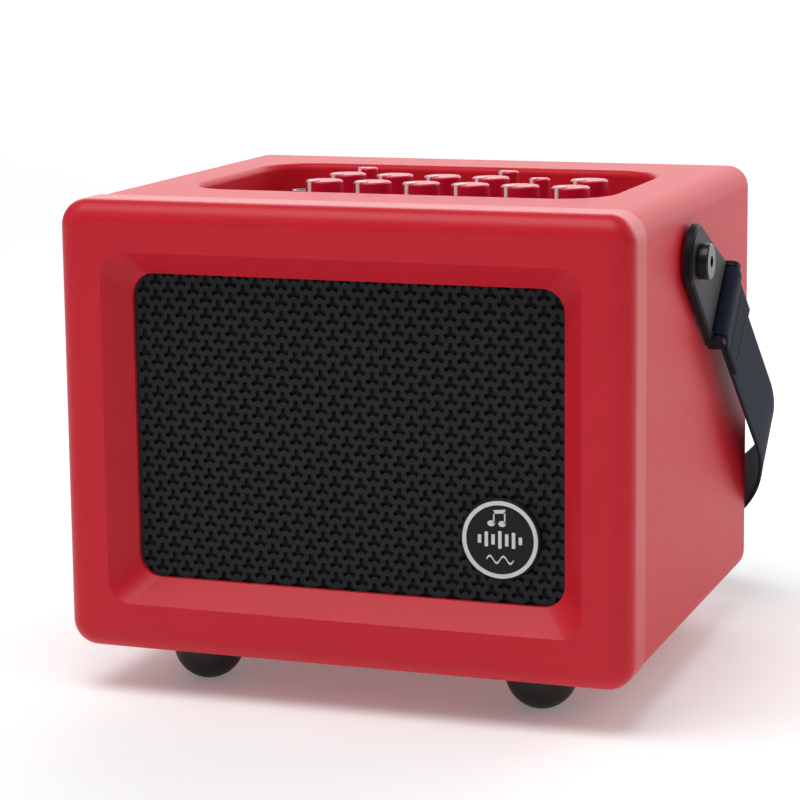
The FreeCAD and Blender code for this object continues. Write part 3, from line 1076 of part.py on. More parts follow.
def strap_bolt():
    seat = SHELL_SIDE + BOSS_PROUD
    head_x = HANGER_X + HANGER_THICKNESS + HANGER_GAP
    shank = rod(BOLT_SHANK_RADIUS, Vector(seat - BOLT_SHANK_LENGTH, 0, 0), X_AXIS, BOLT_SHANK_LENGTH)
    shoulder = rod(SHOULDER_RADIUS, Vector(seat, 0, 0), X_AXIS, head_x - seat)
    head = rod(BOLT_HEAD_RADIUS, Vector(head_x, 0, 0), X_AXIS, BOLT_HEAD_HEIGHT)
    head = head.makeFillet(BOLT_HEAD_EDGE, edges_in_plane(head, "X", head_x + BOLT_HEAD_HEIGHT))
    top = head_x + BOLT_HEAD_HEIGHT
    corners = [Vector(top, a, b) for a, b in hexagon_corners(BOLT_HEX / math.sqrt(3))]
    hexagon = Part.Face(Part.makePolygon(corners)).extrude(Vector(-BOLT_HEX_DEPTH, 0, 0))
    bolt = fused(shank, shoulder, head).cut(hexagon)
    bolt.translate(Vector(0, PIVOT_Y, PIVOT_Z))
    return bolt


def strap_insert():
    sleeve = rod(INSERT_RADIUS, INSERT_START, X_AXIS, BOLT_SHANK_LENGTH)
    return sleeve.cut(rod(BOLT_SHANK_RADIUS, INSERT_START, X_AXIS, BOLT_SHANK_LENGTH))


# ---------------------------------------------------------------- write the pieces
os.makedirs("parts", exist_ok=True)
save("front_bezel", front_bezel())
save("rear_shell", rear_shell())
save("grille_panel", grille_panel())
save("badge_disc", badge_disc())
save("speaker_baffle", speaker_baffle())
save("speaker_basket", speaker_basket())
save("speaker_magnet", speaker_magnet())
save("speaker_cone", speaker_cone())
save("speaker_surround", speaker_surround())
save("speaker_dust_cap", speaker_dust_cap())
save("speaker_spider", speaker_spider())
save("voice_coil", voice_coil())
save("control_panel", control_panel())
for knob_name, knob_column, knob_row, knob_radius in KNOBS:
    save("knob_" + knob_name, knob(knob_column, knob_row, knob_radius))
    save("shaft_" + knob_name, pot_shaft(knob_column, knob_row))
save("potentiometer_bodies", potentiometer_bodies())
save("control_board", control_board())
save("input_jacks", input_jacks())
save("jack_nuts", jack_nuts())
save("amplifier_board", amplifier_board())
save("heat_sink", heat_sink())
save("battery_pack", battery_pack())
save("rear_panel", rear_panel())
save("power_switch_body", power_switch_body())
save("power_rocker", power_rocker())
save("dc_socket", dc_socket())
save("rubber_feet", rubber_feet())
save("case_screws", case_screws())
save("foot_and_speaker_screws", foot_and_speaker_screws())
right_hanger, left_hanger = on_both_sides(strap_hanger())
save("strap_hanger_right", right_hanger)
save("strap_hanger_left", left_hanger)
save("strap_webbing", strap_webbing())
save("strap_bolts", Part.makeCompound(on_both_sides(strap_bolt())))
save("strap_inserts", Part.makeCompound(on_both_sides(strap_insert())))
print("pivot", PIVOT_Y + SET_DOWN.y, PIVOT_Z + SET_DOWN.z)
print("front face", SET_DOWN.y, "back face", BACK_Y + SET_DOWN.y)
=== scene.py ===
import json
import math

import bmesh
import bpy
from mathutils import Matrix, Vector


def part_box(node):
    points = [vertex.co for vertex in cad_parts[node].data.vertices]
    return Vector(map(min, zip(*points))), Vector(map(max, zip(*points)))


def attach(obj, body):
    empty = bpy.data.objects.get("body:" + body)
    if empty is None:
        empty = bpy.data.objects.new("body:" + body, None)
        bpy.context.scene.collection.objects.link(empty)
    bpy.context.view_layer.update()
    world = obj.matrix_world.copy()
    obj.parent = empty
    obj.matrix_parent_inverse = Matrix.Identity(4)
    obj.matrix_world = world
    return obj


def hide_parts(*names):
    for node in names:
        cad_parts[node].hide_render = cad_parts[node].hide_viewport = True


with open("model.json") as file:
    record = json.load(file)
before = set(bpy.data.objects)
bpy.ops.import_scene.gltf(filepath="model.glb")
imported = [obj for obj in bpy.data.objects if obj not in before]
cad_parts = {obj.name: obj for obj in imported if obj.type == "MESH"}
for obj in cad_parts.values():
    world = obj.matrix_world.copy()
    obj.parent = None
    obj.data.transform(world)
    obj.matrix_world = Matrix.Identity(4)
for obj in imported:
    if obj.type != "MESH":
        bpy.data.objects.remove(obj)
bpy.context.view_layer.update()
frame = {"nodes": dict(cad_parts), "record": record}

MM = 0.001

# ---------------------------------------------------------------- where the CAD pieces are
BEZEL_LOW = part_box("front_bezel")[0]
GRILLE_LOW, GRILLE_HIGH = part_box("grille_panel")
BADGE_LOW, BADGE_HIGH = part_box("badge_disc")
BOLTS_LOW, BOLTS_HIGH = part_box("strap_bolts")
PANEL_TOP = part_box("control_panel")[1].z
PIVOT = (BOLTS_LOW + BOLTS_HIGH) / 2

# ---------------------------------------------------------------- sizes in millimetres and degrees
GRILLE_SHEET = 1.2              # thickness of the punched sheet
GRILLE_HIDDEN = 4.0             # width of the grille behind the bezel's lip
GRILLE_CORNER = 14.0            # radius of the sheet's corners
GRILLE_CORNER_CUTS = (22.5, 45, 67.5)   # each corner is trimmed by flat cuts that face these angles
HOLES_UNDER_LIP = 1.0           # the holes go on this far behind the lip
SPARE_CELLS = 2                 # cells laid beyond each edge, then trimmed off
WELD = 0.01                     # corners closer than this become one
STAR_PITCH = 7.08               # one star to the next, up the panel
STAR_COLUMN = 5.86              # one column to the next; every other column is half a pitch higher
STAR_ARM = 3.05                 # arm's end from the star's middle
STAR_ARM_WIDTH = 1.9
STAR_SHIFT = (0.4, -2.7)        # one star's place from the panel's middle
CLOTH_INSET = 4.3               # cloth's edge from the sheet's edge
CLOTH_GAP = 0.3                 # sheet to the cloth behind it

# The badge's print, measured from the badge's middle.
PRINT_HEIGHT = 0.15             # above the badge's face
PRINT_ROOT = 0.05               # below the badge's face
RING_OUTER = 16.7
RING_INNER = 14.9
RING_SIDES = 96
EQUALISER_HALF_HEIGHTS = (1.8, 3.2, 2.2, 3.8, 2.6, 3.4, 1.6)
EQUALISER_PITCH = 3.0
EQUALISER_BAR = 1.5
STEM_PLACES = (-2.6, 2.2)
STEM_LEFT = 0.35                # stem's left side from its place
STEM_RIGHT = 0.25
STEM_TOP = 12.2
NOTE_HEAD_Z = 6.9
NOTE_HEAD_LEFT = 1.2            # head's middle from the stem's place
NOTE_HEAD_RADIUS = 1.5
NOTE_HEAD_SIDES = 24
NOTE_HEAD_WIDER = 1.1           # the head is an oval: its width and height as shares of a circle's
NOTE_HEAD_LOWER = 0.85
BEAM_CORNERS = ((-2.95, 11.0), (2.45, 11.6), (2.45, 13.2), (-2.95, 12.6))
WAVE_LENGTH = 12.0
WAVE_PERIODS = 2
WAVE_SWING = 1.5
WAVE_Z = -8.6
WAVE_LINE = 0.9
WAVE_STEPS = 28

# The white pointers, whose white is also a painted highlight, and the printed ticks.
POINTER_WIDTH = 1.9
POINTER_ANGLE = -30.0
POINTER_COAT = 0.06             # thickness of the white on a pointer: pointer paint and painted highlight
POINTER_INNER = 0.35            # the pointer starts at this share of the knob's radius
POINTER_PROUD = 0.35            # the pointer stands out from the knob's side
POINTER_FOOT = 0.3              # paint's lower edge above the knob's lower edge
POINTER_ROUND = 0.15
TICK_COUNT = 11
TICK_ANGLE = 30                 # one tick to the next
TICK_GAP = 1.0                  # knob's side to the tick
TICK_LENGTH = 1.2
TICK_WIDTH = 0.4
TICK_HEIGHT = 0.06

# The strap, with the same names and values as the CAD piece.
STRAP_FALL = 45.341
HANGER_REACH = 49.0
HANGER_LEAN = 14.3
BAR_X = 135.0
BAR_RADIUS = 2.5
BAR_FIT = 0.1
WEBBING_WIDTH = 38.0
WEBBING_THICKNESS = 1.8
STITCHED_LENGTH = 28.0
STRAP_SPREAD = 3.5
STRAP_CORNER_RADIUS = 96.0
STRAP_CORNER_HEADING = 60.0
STRAP_CORNER_S = 132.157

# What the strap's visual piece adds to them.
LAYER_GAP = 0.05                # between the two layers of the folded end
STRAIGHT_FROM = 9.0             # beyond this distance from the bar both layers are straight
BEND = ((6.5, 0.2), (4.0, 0.62), (2.0, 0.92))   # distance from the bar, share of the way to the wrap
FOLD_STEPS = 9
WRAP_STEPS = 12
LEG_STEPS = 36
CORNER_STEPS = 48
BACK_STEPS = 30
PROFILE_STEPS = 16
SELVEDGE = 0.7                  # the rounded strip along each edge of the band
FLAT_SHARE = 0.92               # thickness of the band's middle, as a share of its edge's
EDGE_POWER = 6                  # the higher, the nearer the edges the band thickens
STITCH_RAISED = 0.1             # thread's middle above the webbing
STITCH_INSET = 3.0              # side rows from the webbing's edges
CROSS_ROWS = (3.0, 15.0)        # rows across the band, from the folded end
CROSS_STITCHES = 5              # stitches each side of the band's middle
SIDE_ROW_FROM = 4.6             # side row's first stitch from the folded end
SIDE_ROW_PITCH = 3.0
SIDE_ROW_STITCHES = 4
STITCH_SIZE = (1.15, 0.32, 0.22)        # half length, half width, half height


# ---------------------------------------------------------------- building helpers
def new_piece(name, mesh, body="cabinet"):
    """An object that moves with the given body."""
    obj = bpy.data.objects.new(name, mesh)
    bpy.context.scene.collection.objects.link(obj)
    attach(obj, body)
    return obj


def mesh_from_bmesh(name, bm):
    bmesh.ops.recalc_face_normals(bm, faces=bm.faces)
    mesh = bpy.data.meshes.new(name)
    bm.to_mesh(mesh)
    bm.free()
    return mesh


def add_box(bm, low, high, matrix=Matrix.Identity(4)):
    """Adds a box between two corners to a mesh under construction."""
    size = Vector(high) - Vector(low)
    middle = (Vector(high) + Vector(low)) / 2
    place = matrix @ Matrix.Translation(middle) @ Matrix.Diagonal((size.x, size.y, size.z, 1))
    bmesh.ops.create_cube(bm, size=1, matrix=place)


def add_prism(bm, outline, y_front, y_back):
    """Adds a plate that faces the front, from (x, z) corners in order."""
    front = [bm.verts.new((x, y_front, z)) for x, z in outline]
    back = [bm.verts.new((x, y_back, z)) for x, z in outline]
    bm.faces.new(front)
    bm.faces.new(back[::-1])
    count = len(outline)
    for i in range(count):
        j = (i + 1) % count
        bm.faces.new((front[j], front[i], back[i], back[j]))


def shade_smooth(mesh, angle=35):
    """Smooth shading, with a sharp edge wherever faces meet at more than the angle."""
    mesh.polygons.foreach_set("use_smooth", [True] * len(mesh.polygons))
    mesh.set_sharp_from_angle(angle=math.radians(angle))


# ---------------------------------------------------------------- materials, lengths in metres
BLOTCH = 0.03                   # size of the slow changes of colour
NOISE_RANGE = (0.3, 0.7)        # noise values that count as lowest and highest
ROUGHNESS_SPREAD = 0.05         # roughness rises and falls by this much
RIB_PITCH = 0.0013              # ribs run across the webbing; this is one to the next, along its length
THREAD_PITCH = 0.0012           # threads run along it; this is one to the next, across its width
RIB_DEPTH = 0.00018


def start_material(name):
    """A new material, its nodes and links, and its shader."""
    material = bpy.data.materials.new(name)
    material.use_nodes = True
    nodes = material.node_tree.nodes
    return material, nodes, material.node_tree.links, nodes["Principled BSDF"]


def noise(nodes, links, size, detail=2):
    """Noise whose blotches are about the given size."""
    vector = nodes.new("ShaderNodeTexCoord").outputs["Object"]
    texture = nodes.new("ShaderNodeTexNoise")
    texture.inputs["Scale"].default_value = 1 / size
    texture.inputs["Detail"].default_value = detail
    links.new(vector, texture.inputs["Vector"])
    return texture.outputs["Fac"]


def ramp_between(nodes, links, factor, low, high):
    """A number that runs from low to high as the noise goes over its range."""
    mapped = nodes.new("ShaderNodeMapRange")
    mapped.inputs["From Min"].default_value = NOISE_RANGE[0]
    mapped.inputs["From Max"].default_value = NOISE_RANGE[1]
    mapped.inputs["To Min"].default_value = low
    mapped.inputs["To Max"].default_value = high
    links.new(factor, mapped.inputs["Value"])
    return mapped.outputs["Result"]


def colour_between(nodes, links, factor, first, second):
    """A colour that runs from the first to the second as the factor goes from 0 to 1."""
    mix = nodes.new("ShaderNodeMix")
    mix.data_type = "RGBA"
    mix.inputs["A"].default_value = (*first, 1)
    mix.inputs["B"].default_value = (*second, 1)
    links.new(factor, mix.inputs["Factor"])
    return mix.outputs["Result"]


def bump(nodes, links, height, depth, shader):
    """Raises the surface by height times depth."""
    node = nodes.new("ShaderNodeBump")
    node.inputs["Distance"].default_value = depth
    links.new(height, node.inputs["Height"])
    links.new(node.outputs["Normal"], shader.inputs["Normal"])


def surface(name, colour, rough, grain=0.0006, depth=0.00001, change=0.06, metal=0.0, shine=0.5):
    """A plain moulded, painted or metal surface with fine grain and slight unevenness."""
    material, nodes, links, shader = start_material(name)
    broad = noise(nodes, links, BLOTCH, 3)
    fine = noise(nodes, links, grain)
    darker = tuple(c * (1 - change) for c in colour)
    lighter = tuple(min(1, c * (1 + change)) for c in colour)
    links.new(colour_between(nodes, links, broad, darker, lighter), shader.inputs["Base Color"])
    roughness = ramp_between(nodes, links, fine, rough - ROUGHNESS_SPREAD, rough + ROUGHNESS_SPREAD)
    links.new(roughness, shader.inputs["Roughness"])
    bump(nodes, links, fine, depth, shader)
    shader.inputs["Metallic"].default_value = metal
    shader.inputs["Specular IOR Level"].default_value = shine
    return material


def webbing_material(name, dark, light):
    """Woven band: ribs crossed by fine threads, placed by the distance along and across the band."""
    material, nodes, links, shader = start_material(name)
    uv = nodes.new("ShaderNodeUVMap")
    uv.uv_map = "along"
    split = nodes.new("ShaderNodeSeparateXYZ")
    links.new(uv.outputs["UV"], split.inputs["Vector"])

    def wave(axis, pitch):
        scaled = nodes.new("ShaderNodeMath")
        scaled.operation = "MULTIPLY"
        scaled.inputs[1].default_value = 2 * math.pi / pitch
        links.new(split.outputs[axis], scaled.inputs[0])
        sine = nodes.new("ShaderNodeMath")
        sine.operation = "SINE"
        links.new(scaled.outputs[0], sine.inputs[0])
        return sine.outputs[0]

    product = nodes.new("ShaderNodeMath")
    product.operation = "MULTIPLY"
    links.new(wave("Y", RIB_PITCH), product.inputs[0])
    links.new(wave("X", THREAD_PITCH), product.inputs[1])
    height = nodes.new("ShaderNodeMapRange")
    height.inputs["From Min"].default_value = -1
    height.inputs["From Max"].default_value = 1
    links.new(product.outputs[0], height.inputs["Value"])
    colour = colour_between(nodes, links, height.outputs["Result"], dark, light)
    links.new(colour, shader.inputs["Base Color"])
    bump(nodes, links, height.outputs["Result"], RIB_DEPTH, shader)
    shader.inputs["Roughness"].default_value = 0.7
    shader.inputs["Specular IOR Level"].default_value = 0.07
    shader.inputs["Sheen Weight"].default_value = 0.01
    return material


def fibre_material(name, colour, size=0.0012, rough=0.9):
    """Cloth, paper pulp or board: mottled and matt."""
    return surface(name, colour, rough, grain=size, depth=0.00012, change=0.2)


RED = (0.56, 0.013, 0.026)
SURFACES = {
    "red_bezel": dict(colour=RED, rough=0.36, shine=0.22),
    "red_shell": dict(colour=RED, rough=0.42, shine=0.12),
    "grille_black": dict(
        colour=(0.010, 0.012, 0.015), rough=0.6, shine=0.25, grain=0.0004, depth=0.00003,
    ),
    "badge_black": dict(colour=(0.008, 0.008, 0.010), rough=0.5, shine=0.2),
    "panel_red": dict(colour=(0.40, 0.014, 0.026), rough=0.5, shine=0.3),
    "knob_red": dict(colour=(0.56, 0.006, 0.035), rough=0.34, shine=0.25),
    "shaft_alloy": dict(colour=(0.6, 0.6, 0.61), rough=0.3, metal=1.0),
    "basket_steel": dict(colour=(0.02, 0.02, 0.021), rough=0.4),
    "magnet_grey": dict(colour=(0.06, 0.06, 0.065), rough=0.55),
    "surround_rubber": dict(colour=(0.012, 0.012, 0.012), rough=0.6),
    "coil_copper": dict(colour=(0.6, 0.22, 0.08), rough=0.3, metal=1.0),
    "pot_plastic": dict(colour=(0.01, 0.06, 0.04), rough=0.5),
    "board_green": dict(colour=(0.01, 0.08, 0.02), rough=0.35),
    "jack_metal": dict(colour=(0.42, 0.42, 0.43), rough=0.35, metal=1.0),
    "nut_chrome": dict(colour=(0.62, 0.62, 0.64), rough=0.22, metal=1.0),
    "sink_alloy": dict(colour=(0.5, 0.5, 0.52), rough=0.4, metal=1.0),
    "battery_wrap": dict(colour=(0.02, 0.05, 0.2), rough=0.35),
    "rear_panel_black": dict(colour=(0.02, 0.02, 0.021), rough=0.55, grain=0.0008, depth=0.00005),
    "switch_black": dict(colour=(0.012, 0.012, 0.012), rough=0.35),
    "rocker_black": dict(colour=(0.015, 0.015, 0.015), rough=0.25),
    "socket_black": dict(colour=(0.014, 0.014, 0.014), rough=0.5),
    "foot_rubber": dict(colour=(0.008, 0.008, 0.007), rough=0.55, grain=0.0009, depth=0.00004),
    "screw_steel": dict(colour=(0.1, 0.1, 0.105), rough=0.35, metal=1.0),
    "hanger_black": dict(
        colour=(0.007, 0.008, 0.012), rough=0.5, shine=0.14, grain=0.0005, depth=0.00002,
    ),
    "bolt_black": dict(colour=(0.012, 0.012, 0.015), rough=0.3, metal=0.3),
    "insert_brass": dict(colour=(0.6, 0.4, 0.12), rough=0.3, metal=1.0),
}
FIBRES = {
    "baffle_board": (0.09, 0.055, 0.03),
    "cone_paper": (0.02, 0.02, 0.02),
    "spider_cloth": (0.5, 0.33, 0.08),
}
MATERIALS = {name: surface(name, **look) for name, look in SURFACES.items()}
for name, colour in FIBRES.items():
    MATERIALS[name] = fibre_material(name, colour)
MATERIALS["webbing_black"] = webbing_material(
    "webbing_black", dark=(0.006, 0.008, 0.015), light=(0.022, 0.027, 0.048),
)
SILVER_PRINT = surface("silver_print", (0.62, 0.63, 0.65), 0.35)
# White of the knobs' pointers: pointer paint, and a painted highlight for the bright stripe on each
# pointer's rib.
POINTER_PAINT_AND_HIGHLIGHT = surface("pointer_paint_and_highlight", (0.86, 0.84, 0.83), 0.4)
GREY_PRINT = surface("grey_print", (0.55, 0.5, 0.5), 0.5)
BLACK_CLOTH = fibre_material("black_cloth", (0.002, 0.002, 0.0022), 0.0006)
THREAD = fibre_material("thread", (0.035, 0.037, 0.05), 0.0003, 0.7)

for part in frame["record"]["subparts"]:
    node = frame["nodes"][part["node"]]
    material = MATERIALS[part["material_slot"]]
    for index in range(len(node.data.materials)):
        node.data.materials[index] = material
    if not node.data.materials:
        node.data.materials.append(material)


# ---------------------------------------------------------------- grille with star-shaped holes
def polar(radius, degrees):
    """The point at a radius and an angle."""
    return Vector((radius * math.cos(math.radians(degrees)), radius * math.sin(math.radians(degrees))))


def star_corners():
    """Nine corners of a three-armed star, anticlockwise from the inner corner at its upper right."""
    half = STAR_ARM_WIDTH / 2
    inner = half / math.sin(math.radians(60))
    corners = []
    for arm in (90, 210, 330):
        out = polar(1, arm)
        side = polar(1, arm - 90)
        corners.append(polar(inner, arm - 60))
        corners.append(out * STAR_ARM + side * half)
        corners.append(out * STAR_ARM - side * half)
    return corners


def grille_cell(bm, x, z, holed, y):
    """One six-sided cell of the sheet about (x, z) in millimetres, with or without its star cut out."""
    def vertex(p):
        return bm.verts.new(((x + p.x) * MM, y, (z + p.y) * MM))

    hexagon = []
    for i in range(6):
        corner = polar(1, 60 * i)
        corner.x *= STAR_COLUMN * 2 / 3
        corner.y *= STAR_PITCH / math.sqrt(3)
        hexagon.append(vertex(corner))
    if not holed:
        bm.faces.new(hexagon)
        return
    star = [vertex(p) for p in star_corners()]
    for arm in range(3):
        inner, right, left = star[3 * arm:3 * arm + 3]
        next_inner = star[(3 * arm + 3) % 9]
        first, second, third = (hexagon[(2 * arm + i) % 6] for i in range(3))
        bm.faces.new((second, third, left, right))
        bm.faces.new((first, second, right, inner))
        bm.faces.new((left, third, next_inner))


def edge_cuts(width, height):
    """Cuts that trim the sheet: (direction out, x and z of a point on the cut) in millimetres."""
    cuts = [((side, 0), side * width / 2, 0) for side in (-1, 1)]
    cuts += [((0, side), 0, side * height / 2) for side in (-1, 1)]
    for side in (-1, 1):
        for up in (-1, 1):
            for angle in GRILLE_CORNER_CUTS:
                out = (side * math.cos(math.radians(angle)), up * math.sin(math.radians(angle)))
                x = side * (width / 2 - GRILLE_CORNER) + out[0] * GRILLE_CORNER
                z = up * (height / 2 - GRILLE_CORNER) + out[1] * GRILLE_CORNER
                cuts.append((out, x, z))
    return cuts


def make_grille():
    """The punched sheet: cells all over, trimmed to the panel's outline and given their thickness."""
    width = (GRILLE_HIGH.x - GRILLE_LOW.x) / MM
    height = (GRILLE_HIGH.z - GRILLE_LOW.z) / MM
    middle_z = (GRILLE_LOW.z + GRILLE_HIGH.z) / 2 / MM
    columns = int(width / 2 / STAR_COLUMN) + SPARE_CELLS
    rows = int(height / 2 / STAR_PITCH) + SPARE_CELLS
    holes_x = width / 2 - GRILLE_HIDDEN + HOLES_UNDER_LIP
    holes_z = height / 2 - GRILLE_HIDDEN + HOLES_UNDER_LIP
    bm = bmesh.new()
    for column in range(-columns, columns + 1):
        for row in range(-rows, rows + 1):
            x = STAR_SHIFT[0] + column * STAR_COLUMN
            z = STAR_SHIFT[1] + (row + (column % 2) / 2) * STAR_PITCH
            holed = abs(x) < holes_x and abs(z) < holes_z
            grille_cell(bm, x, middle_z + z, holed, GRILLE_LOW.y)
    bmesh.ops.remove_doubles(bm, verts=bm.verts, dist=WELD * MM)
    for out, x, z in edge_cuts(width, height):
        bmesh.ops.bisect_plane(
            bm, geom=bm.verts[:] + bm.edges[:] + bm.faces[:], clear_outer=True,
            plane_co=(x * MM, GRILLE_LOW.y, (middle_z + z) * MM), plane_no=(out[0], 0, out[1]),
        )
    bmesh.ops.recalc_face_normals(bm, faces=bm.faces)
    bm.faces.ensure_lookup_table()
    if bm.faces[0].normal.y > 0:
        bmesh.ops.reverse_faces(bm, faces=bm.faces)
    mesh = bpy.data.meshes.new("grille_mesh")
    bm.to_mesh(mesh)
    bm.free()
    mesh.materials.append(MATERIALS["grille_black"])
    grille = new_piece("grille_sheet", mesh)
    thicken = grille.modifiers.new("thicken", "SOLIDIFY")
    thicken.thickness = GRILLE_SHEET * MM
    thicken.offset = -1
    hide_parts("grille_panel")


def make_cloth():
    """Black cloth behind the sheet's holes."""
    front = GRILLE_LOW.y + (GRILLE_SHEET + CLOTH_GAP) * MM
    inset = CLOTH_INSET * MM
    bm = bmesh.new()
    add_box(
        bm,
        (GRILLE_LOW.x + inset, front, GRILLE_LOW.z + inset),
        (GRILLE_HIGH.x - inset, GRILLE_HIGH.y, GRILLE_HIGH.z - inset),
    )
    mesh = mesh_from_bmesh("grille_cloth", bm)
    mesh.materials.append(BLACK_CLOTH)
    cloth = new_piece("grille_cloth", mesh)
    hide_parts("grille_panel")


# ---------------------------------------------------------------- badge print
def circle(radius, sides):
    """Corners of a many-sided circle about the origin."""
    angles = (2 * math.pi * i / sides for i in range(sides))
    return [(radius * math.cos(angle), radius * math.sin(angle)) for angle in angles]


def add_ring(bm, outer, inner, y_front, y_back):
    """A flat ring that faces the front, about the origin, in metres."""
    rows = []
    for radius, y in ((outer, y_back), (outer, y_front), (inner, y_front), (inner, y_back)):
        rows.append([bm.verts.new((x, y, z)) for x, z in circle(radius, RING_SIDES)])
    for first, second in zip(rows, rows[1:] + rows[:1]):
        for i in range(RING_SIDES):
            j = (i + 1) % RING_SIDES
            bm.faces.new((first[i], first[j], second[j], second[i]))


def note_head(stem):
    """The oval head of a note, left of its stem."""
    middle = stem - NOTE_HEAD_LEFT
    return [
        (middle + x * NOTE_HEAD_WIDER, NOTE_HEAD_Z + z * NOTE_HEAD_LOWER)
        for x, z in circle(NOTE_HEAD_RADIUS, NOTE_HEAD_SIDES)
    ]


def wave_line():
    """A band of even height that follows a sine wave."""
    upper, lower = [], []
    for step in range(WAVE_STEPS + 1):
        share = step / WAVE_STEPS
        x = WAVE_LENGTH * (share - 0.5)
        z = WAVE_Z + WAVE_SWING * math.sin(2 * math.pi * WAVE_PERIODS * share)
        upper.append((x, z + WAVE_LINE / 2))
        lower.append((x, z - WAVE_LINE / 2))
    return upper + lower[::-1]


def make_badge():
    """Silver ring with an equaliser sign, a pair of notes and a wave line: a generic music emblem."""
    centre = (BADGE_LOW + BADGE_HIGH) / 2
    y_front = BADGE_LOW.y - PRINT_HEIGHT * MM
    y_back = BADGE_LOW.y + PRINT_ROOT * MM
    bm = bmesh.new()
    add_ring(bm, RING_OUTER * MM, RING_INNER * MM, y_front, y_back)

    def bar(x0, x1, z0, z1):
        add_box(bm, (x0 * MM, y_front, z0 * MM), (x1 * MM, y_back, z1 * MM))

    def plate(outline):
        add_prism(bm, [(x * MM, z * MM) for x, z in outline], y_front, y_back)

    for index, half_height in enumerate(EQUALISER_HALF_HEIGHTS):
        x = (index - (len(EQUALISER_HALF_HEIGHTS) - 1) / 2) * EQUALISER_PITCH
        bar(x - EQUALISER_BAR / 2, x + EQUALISER_BAR / 2, -half_height, half_height)
    for stem in STEM_PLACES:
        plate(note_head(stem))
        bar(stem - STEM_LEFT, stem + STEM_RIGHT, NOTE_HEAD_Z, STEM_TOP)
    plate(BEAM_CORNERS)
    plate(wave_line())
    mesh = mesh_from_bmesh("badge_print", bm)
    mesh.materials.append(SILVER_PRINT)
    mesh.transform(Matrix.Translation((centre.x, 0, centre.z)))
    new_piece("badge_print", mesh)


# ---------------------------------------------------------------- knobs
def knobs():
    """Each knob's place name, such as front_1, its box, its axis and its radius."""
    for name in sorted(frame["nodes"]):
        if name.startswith("knob_"):
            place = name[len("knob_"):]
            low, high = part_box(name)
            shaft_low, shaft_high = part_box("shaft_" + place)
            yield place, low, high, (shaft_low + shaft_high) / 2, (high.x - low.x) / 2


def make_pointers():
    """White over each knob's raised pointer, on its side and top: pointer paint, and a painted highlight
    for the bright stripe that the rib catches.
    """
    coat = POINTER_COAT * MM
    half = POINTER_WIDTH / 2 * MM + coat
    turn = Matrix.Rotation(math.radians(POINTER_ANGLE), 4, "Z")
    for place, low, high, axis, radius in knobs():
        reach = radius + POINTER_PROUD * MM
        bm = bmesh.new()
        add_box(
            bm,
            (-half, -reach - coat, low.z + POINTER_FOOT * MM),
            (half, -radius * POINTER_INNER, high.z + coat),
        )
        bmesh.ops.bevel(bm, geom=bm.edges[:], offset=POINTER_ROUND * MM, segments=2, affect="EDGES")
        mesh = mesh_from_bmesh("pointer_" + place, bm)
        mesh.transform(Matrix.Translation((axis.x, axis.y, 0)) @ turn)
        # The white is pointer paint and also a painted highlight on the rib.
        mesh.materials.append(POINTER_PAINT_AND_HIGHLIGHT)
        new_piece("pointer_" + place, mesh, "control_" + place)


def make_scale_marks():
    """Printed ticks round each knob on the control panel."""
    half = TICK_WIDTH / 2 * MM
    bm = bmesh.new()
    for _, _, _, axis, radius in knobs():
        start = -radius - TICK_GAP * MM
        for tick in range(TICK_COUNT):
            turn = Matrix.Rotation(math.radians(POINTER_ANGLE - TICK_ANGLE * tick), 4, "Z")
            place = Matrix.Translation((axis.x, axis.y, PANEL_TOP)) @ turn
            add_box(bm, (-half, start - TICK_LENGTH * MM, 0), (half, start, TICK_HEIGHT * MM), place)
    mesh = mesh_from_bmesh("scale_marks", bm)
    mesh.materials.append(GREY_PRINT)
    new_piece("scale_marks", mesh)


# ---------------------------------------------------------------- webbing
# The strap follows a plane with x to the right and s from the bolts back and down; v is across the
# webbing. Its legs run straight from the bars, a corner arc follows each, and a wide arc closes the back.
FALL = math.radians(STRAP_FALL)
SPREAD = math.radians(STRAP_SPREAD)
HEADING = math.radians(STRAP_CORNER_HEADING)
BAR_S = HANGER_REACH * math.cos(math.radians(HANGER_LEAN))
BAR_V = HANGER_REACH * math.sin(math.radians(HANGER_LEAN))
BAR = Vector((BAR_X, BAR_S))
LEG_ALONG = Vector((math.sin(SPREAD), math.cos(SPREAD)))
LEG_ACROSS = Vector((math.cos(SPREAD), -math.sin(SPREAD)))


def strap_place(x, s, v):
    """Where a point of the strap's plane, given in millimetres, is in the scene."""
    y = s * math.cos(FALL) + v * math.sin(FALL)
    z = -s * math.sin(FALL) + v * math.cos(FALL)
    return Vector((x * MM, PIVOT.y + y * MM, PIVOT.z + z * MM))


